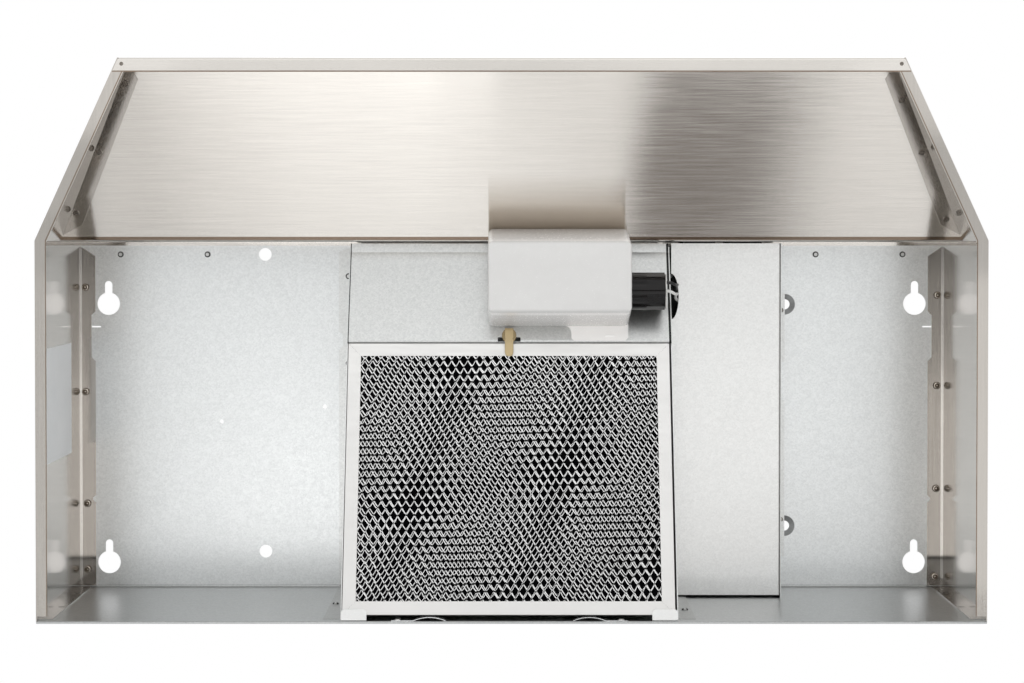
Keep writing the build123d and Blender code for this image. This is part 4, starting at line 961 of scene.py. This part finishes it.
def frame_member(start, end, inward):
    """One side of the frame: a rolled channel with rounded outer bends, mitred at both ends."""
    bend = [step * math.pi / 8 for step in range(4, -1, -1)]
    lower = [(frame_round * (1 - math.cos(angle)), frame_round * (1 - math.sin(angle))) for angle in bend]
    upper = [(x, frame_thick - z) for x, z in reversed(lower)]
    outline = [(frame_lip, 0.0), *lower, *upper, (frame_lip, frame_thick)]
    outline += [(frame_lip, frame_thick - frame_skin), (frame_round, frame_thick - frame_skin)]
    outline += [(frame_skin, frame_thick - frame_round), (frame_skin, frame_round)]
    outline += [(frame_round, frame_skin), (frame_lip, frame_skin)]
    run = (end - start).normalized()
    corners = []
    for spot, way in ((start, 1), (end, -1)):
        for depth, height in outline:
            flat = spot + inward * depth + run * way * (depth + mitre_gap / 2)
            corners.append((flat.x, flat.y, height))
    return corners, tube(2, len(outline))


frame_metal, tree, shader, place = patchy(
    "filter_frame_aluminium", (0.77, 0.76, 0.745), (0.85, 0.84, 0.825), 150.0, "Broad",
    depth=0.00004, metallic=0.9,
)
grain = place_effect(tree, brushed_grain, place, Along=(40, 300, 300))
feed(shader, "Roughness", spread(tree, grain["Streak"], 0.34, 0.48))
left_x, right_x = left_lap - filter_width / 2, filter_width / 2
rim = [Vector(spot) for spot in (
    (left_x, front_lap), (right_x, front_lap), (right_x, filter_length), (left_x, filter_length),
)]
inwards = [Vector(way) for way in ((0, 1), (-1, 0), (0, -1), (1, 0))]
frame_piece = joined("filter_channel_frame", [
    frame_member(rim[index], rim[(index + 1) % 4], inwards[index]) for index in range(4)
], frame_metal)
frame_piece.data.transform(filter_place)
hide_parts("filter_frame")
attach(frame_piece, "filter")


# ------------------------ charcoal pad
# A pad of black fibre that holds charcoal, between the sheets of expanded metal. It is uneven to
# the touch, and the sheets hold it flat.
pad_low, pad_high = 0.0018, 0.0077
pad_step = 0.0021
pad_rough = 0.0009
pad_half = (filter_width / 2 - 0.0012, filter_length / 2 - 0.0012)
chance = random.Random(7)
across = int(2 * pad_half[0] / pad_step)
along = int(2 * pad_half[1] / pad_step)
points, faces = [], []
for face_z, inward in ((pad_low, 1), (pad_high, -1)):
    for row in range(along + 1):
        for column in range(across + 1):
            x = -pad_half[0] + 2 * pad_half[0] * column / across
            y = filter_length / 2 - pad_half[1] + 2 * pad_half[1] * row / along
            points.append(filter_place @ Vector((x, y, face_z + inward * chance.uniform(0, pad_rough))))
width = across + 1
layer = width * (along + 1)
for row in range(along):
    for column in range(across):
        a = row * width + column
        faces.append((a, a + width, a + width + 1, a + 1))
        faces.append((layer + a, layer + a + 1, layer + a + width + 1, layer + a + width))
edge = list(range(across))
edge += [row * width + across for row in range(along)]
edge += [along * width + column for column in range(across, 0, -1)]
edge += [row * width for row in range(along, 0, -1)]
for start, end in zip(edge, edge[1:] + edge[:1]):
    faces.append((start, end, layer + end, layer + start))
fibre, tree, shader, place = start_material("charcoal_fibre", (0.002, 0.002, 0.003), roughness=0.95)
patches = place_effect(tree, mottle, place, Fineness=1400.0)
tufts = spread(tree, patches["Fine"], 0.0, 1.0, 0.4, 0.75)
feed(shader, "Base Color", between(tree, tufts, (0.0005, 0.0005, 0.0008), (0.004, 0.004, 0.005)))
shader.inputs["Specular IOR Level"].default_value = 0.02
relief(tree, shader, patches["Fine"], 0.0006)
mesh = bpy.data.meshes.new("charcoal_fibre_pad")
mesh.from_pydata(points, [], faces)
mesh.shade_smooth()
mesh.materials.append(fibre)
pad = placed("charcoal_fibre_pad", mesh)
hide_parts("charcoal_pad")
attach(pad, "filter")


# ------------------------ what holds the filter
# A clip of tan nylon, seated in the lamp plate with a round collar, holds up the front edge. Two
# bowed leaf springs, riveted to the hem at the rim, press on the back edge.
clip_x = -2.0
finger_half = 3.5
tip_y = 93.0  # the finger's end is round from here
finger_line = [  # y, height of the lower side, height of the upper side
    (73.4, 65.2, 66.8), (76.0, 64.3, 66.2), (79.5, 62.8, 64.9), (83.0, 61.2, 63.5),
    (85.6, 60.1, 62.6), (88.0, 60.1, 62.4), (91.0, 59.8, 62.2), (93.2, 59.4, 61.9),
    (94.6, 59.15, 61.5), (95.7, 59.1, 61.1), (96.3, 59.2, 60.8),
]
collar_y = 79.4
collar_line = ((0.1, 6.0), (1.5, 6.0), (2.0, 5.6), (2.1, 5.0))  # depth under the plate, radius
collar_squash = 6.05 / 6.0  # its length for its width


def drawn(x, y, z):
    """A point given in millimetres from the hood's front face and its rim, in the shared frame."""
    return Vector((x, y, z)) / 1000 + Vector((0, face_y, rim_z))


def plate_over(y):
    """Height of the lamp plate's underside over the lens and the clip."""
    return 95.44 - (y - 10.2) * 0.4303


across = 10
points = []
for y, low, high in finger_line:
    half = math.sqrt(max(finger_half**2 - max(y - tip_y, 0)**2, 0.3))
    shares = [2 * step / across - 1 for step in range(across + 1)]
    points += [drawn(clip_x + half * share, y, low + 0.55 * abs(share)**2.4) for share in shares]
    points += [drawn(clip_x - half * share, y, high - 0.3 * abs(share)**2.4) for share in shares]
ring = 2 * (across + 1)
faces = tube(len(finger_line), ring)
faces += [tuple(range(ring)), tuple(reversed(range(len(points) - ring, len(points))))]
steps = 40
collar = []
for level, radius in collar_line:
    for step in range(steps):
        angle = 2 * math.pi * step / steps
        y = collar_y + collar_squash * radius * math.sin(angle)
        collar.append(drawn(clip_x + radius * math.cos(angle), y, plate_over(y) - level))
collar_faces = tube(len(collar_line), steps)
collar_faces += [tuple(range(steps)), tuple(reversed(range(len(collar) - steps, len(collar))))]
hook = box_solid(drawn(clip_x - 4.5, 81.9, 61.9), drawn(clip_x + 4.5, 83.6, 67.8))
clip_piece = joined(
    "clip_finger_and_collar", [(points, faces), (collar, collar_faces), hook],
    moulded("tan_nylon", (0.50, 0.38, 0.20), (0.59, 0.46, 0.26), 0.26, 0.36, 500.0, 0.00004),
    moulded("shaded_nylon", (0.27, 0.20, 0.10), (0.36, 0.27, 0.14), 0.30, 0.42, 500.0, 0.00004),
)
# The collar and the hook take the darker nylon, which is painted shade.
for side in clip_piece.data.polygons[len(faces):]:
    side.material_index = 1
for side in clip_piece.data.polygons[:len(faces) - 2]:
    side.use_smooth = True
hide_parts("filter_clip")
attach(clip_piece, "hood")
dress("filter_springs", spring_steel)


# ------------------------ lamp
# A lens of milky plastic under a frosted bulb, which is screwed into the brass shell of a black
# socket. A ledge behind the lens lies along the lamp plate, and two ears hold it there.
lens_left, lens_right, lens_wall = -19.3, 98.0, 1.6
side_edge = [
    (1.3, 24), (-9.7, 77.58), (2.8, 81.26), (2.8, 95.44), (10.2, 95.44), (72.0, plate_over(72.0)),
    (57.8, 24),
]
slot_low, slot_high, slot_z, slot_radius = 26.2, 57.8, 52.0, 15.8
ledge_front, ledge_back, ledge_left = 69.5, 83.6, 50.0
corner_from, corner_round = 71.4, 6.0
ear_places = ((-3.3, 67.2), (82.0, 78.96))

milky, tree, shader, place = start_material("milky_lens", (0.93, 0.92, 0.91))
patches = place_effect(tree, mottle, place, Fineness=900.0)
# The walls above the face are painted lighter than the face: painted light, for light that comes through
# the milky plastic.
walls_painted_lighter = spread(tree, axes(tree, place)["Z"], 0.0, 1.0, -0.1278, -0.1215)
face_tone = between(tree, patches["Broad"], (0.62, 0.612, 0.60), (0.655, 0.647, 0.635))
lit_walls_colour = between(tree, patches["Broad"], (0.945, 0.925, 0.905), (0.975, 0.955, 0.935))
feed(shader, "Base Color", between(tree, walls_painted_lighter, face_tone, lit_walls_colour))
feed(shader, "Roughness", spread(tree, patches["Fine"], 0.20, 0.28))
shader.inputs["Subsurface Weight"].default_value = 0.08
shader.inputs["Subsurface Radius"].default_value = (0.016, 0.016, 0.015)
shader.inputs["Subsurface Scale"].default_value = 1.0
relief(tree, shader, patches["Fine"], 0.000015)

slot_middle = (slot_low + slot_high) / 2
slot_top = [(slot_high, plate_over(slot_high))]
slot_top += [
    (slot_middle + slot_radius * math.cos(angle), slot_z - slot_radius * math.sin(angle))
    for angle in (step * math.pi / 12 for step in range(13))
]
slot_top += [(slot_low, plate_over(slot_low))]
right_edge = side_edge[:5] + list(reversed(slot_top)) + side_edge[5:]
points = [drawn(lens_left, y, z) for y, z in side_edge] + [drawn(lens_right, y, z) for y, z in right_edge]
left = list(range(len(side_edge)))
right = [len(side_edge) + index for index in range(len(right_edge))]
faces = [
    tuple(left), tuple(reversed(right)),
    (left[0], left[-1], right[-1], right[0]),
    (left[1], left[0], right[0], right[1]),
    (left[-1], left[-2], right[-2], right[-1]),
]
mesh = bpy.data.meshes.new("milky_lens")
mesh.from_pydata(points, [], faces)
face_edges = (left[0], left[-1]), (right[0], right[-1]), (left[0], right[0]), (left[-1], right[-1])
corner_edges = (left[0], left[1]), (right[0], right[1]), (left[-1], left[-2]), (right[-1], right[-2])
rounded = {frozenset(pair): 0.5 for pair in face_edges}
rounded.update({frozenset(pair): 1.0 for pair in corner_edges})
weight = mesh.attributes.new("bevel_weight_edge", "FLOAT", "EDGE")
for edge in mesh.edges:
    weight.data[edge.index].value = rounded.get(frozenset(edge.vertices), 0.0)
mesh.shade_smooth()
mesh.materials.append(milky)
lens = placed("milky_lens", mesh)
turned = lens.modifiers.new("rounded_edges", "BEVEL")
turned.limit_method = "WEIGHT"
turned.width = 0.0042
turned.segments = 6
wall = lens.modifiers.new("wall", "SOLIDIFY")
wall.thickness = lens_wall / 1000
wall.offset = -1
wall.use_even_offset = True
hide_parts("lamp_lens")
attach(lens, "lens")

corner_left = ledge_left - corner_round
ledge = [(corner_left, ledge_front), (corner_left, corner_from)]
for step in range(7):
    angle = step * math.pi / 12
    y = corner_from + corner_round - corner_round * math.cos(angle)
    ledge.append((corner_left + corner_round * math.sin(angle), y))
ledge += [(ledge_left, ledge_back - 2), (ledge_left + 2, ledge_back), (lens_right - 3, ledge_back)]
ledge += [(lens_right - 0.5, ledge_back - 3), (lens_right - 0.5, ledge_front)]
count = len(ledge)
lower = [drawn(x, y, plate_over(y) - lens_wall) for x, y in ledge]
upper = [drawn(x, y, plate_over(y)) for x, y in ledge]
sides = [(i, (i + 1) % count, count + (i + 1) % count, count + i) for i in range(count)]
solids = [(lower + upper, [tuple(reversed(range(count))), tuple(range(count, 2 * count)), *sides])]
for x, y in ear_places:
    low, high = drawn(x - 4, y, plate_over(y) - 2.6), drawn(x + 4, y + lens_wall, plate_over(y) + 2.3)
    solids.append(box_solid(low, high))
ledge_piece = joined("lens_ledge_and_ears", solids, milky)
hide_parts("lamp_lens")
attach(ledge_piece, "lens")

socket_black, tree, shader, place = patchy(
    "socket_black", (0.003, 0.0025, 0.0025), (0.006, 0.005, 0.005), 1200.0, "Broad", (0.06, 0.11), "Broad",
    0.00002,
)
shader.inputs["Specular IOR Level"].default_value = 0.3
dress("lamp_socket", socket_black)
brass = plated("brass", (0.50, 0.34, 0.13), (0.66, 0.48, 0.22), 0.20, 0.34)
dress("socket_shell", brass)
dress("switch_terminals", brass)
dress("bulb_base", plated("bulb_cap", (0.60, 0.60, 0.59), (0.74, 0.74, 0.73), 0.20, 0.34))
frosted, tree, shader, place = patchy(
    "frosted_glass", (0.89, 0.89, 0.87), (0.94, 0.94, 0.93), 800.0, "Broad", 0.45, depth=0.00002,
)
shader.inputs["Transmission Weight"].default_value = 0.35
dress("bulb_glass", frosted)


# ------------------------ ground screw and wire nuts
# A green screw in the pan takes the ground wire. Two orange nuts of moulded plastic are twisted on
# the leads in the wiring compartment, and a black bushing lines their hole in the housing wall.
dress("ground_screw", plated("green_ground", (0.02, 0.13, 0.05), (0.05, 0.26, 0.10), 0.30, 0.42))
dress("wire_nuts", moulded("orange_nut", (0.60, 0.17, 0.02), (0.74, 0.24, 0.04), 0.32, 0.42, 700.0))
dress("lead_bushing", moulded("bushing_black", (0.012, 0.012, 0.012), (0.022, 0.022, 0.022), 0.38, 0.50))


# ------------------------ leads
# Stranded copper in soft plastic. Two leads run from the lamp socket up through the notch in the
# wiring cover; two more run from the motor through the bushing in the housing wall.
lead_thick = 0.0025
black_sleeve, white_sleeve = (0.020, 0.020, 0.021), (0.78, 0.78, 0.76)


def lead(name, node, route, colour):
    """One lead on one smooth line through its route."""
    piece, line = drawn_wire(name, "NURBS", route, lead_thick, 3)
    line.order_u = 3
    line.use_endpoint_u = True
    line.resolution_u = 10
    darker = tuple(value * 0.8 for value in colour)
    piece.data.materials.append(moulded(name + "_sleeve", darker, colour, 0.30, 0.42))
    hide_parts(node)
    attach(piece, "hood")


lead("lamp_lead_black_sleeve", "lamp_lead_black", [
    (0.1234, -0.1358, -0.1004), (0.1312, -0.1358, -0.1004), (0.1369, -0.1327, -0.0949),
    (0.1393, -0.1335, -0.0824), (0.1396, -0.1318, -0.0644), (0.1415, -0.1263, -0.0404),
    (0.1475, -0.1188, -0.0274), (0.1590, -0.1268, -0.0244), (0.1590, -0.1403, -0.0244),
], black_sleeve)
lead("lamp_lead_white_sleeve", "lamp_lead_white", [
    (0.1234, -0.1288, -0.1004), (0.1310, -0.1288, -0.1004), (0.1365, -0.1252, -0.0949),
    (0.1389, -0.1257, -0.0824), (0.1392, -0.1243, -0.0644), (0.1404, -0.1203, -0.0444),
    (0.1490, -0.1143, -0.0384), (0.1600, -0.1073, -0.0398), (0.1600, -0.0943, -0.0398),
], white_sleeve)
lead("motor_lead_to_switch", "motor_leads", [
    (0.0133, 0.07078, -0.0097), (0.0450, 0.07038, -0.0097), (0.0800, 0.06038, -0.0174),
    (0.1120, 0.05688, -0.0244), (0.1480, 0.05688, -0.0244), (0.1720, 0.04770, -0.0274),
    (0.1860, 0.00970, -0.0304), (0.1940, -0.04030, -0.0294), (0.1970, -0.08530, -0.0264),
    (0.1950, -0.11830, -0.0244), (0.1950, -0.14030, -0.0244),
], black_sleeve)
lead("motor_lead_to_nut", "motor_leads", [
    (0.0133, 0.07398, -0.0097), (0.0450, 0.07438, -0.0097), (0.0800, 0.06438, -0.0174),
    (0.1120, 0.05988, -0.0244), (0.1460, 0.05988, -0.0244), (0.1660, 0.04570, -0.0304),
    (0.1750, 0.01770, -0.0364), (0.1800, -0.01530, -0.0398), (0.1800, -0.04830, -0.0398),
], white_sleeve)


# ------------------------ switches
# Two black rocker switches of moulded nylon, light on the left and fan on the right. Each body is
# pushed into a hole in the front face, and its rocker tilts in a round well.
switch_black = moulded("switch_black", (0.014, 0.014, 0.015), (0.022, 0.022, 0.023), 0.30, 0.40)
rocker_black = moulded("rocker_black", (0.010, 0.010, 0.011), (0.016, 0.016, 0.017), 0.16, 0.26)
for name in ("light", "fan"):
    dress(name + "_switch_body", switch_black)
    dress(name + "_rocker", rocker_black)
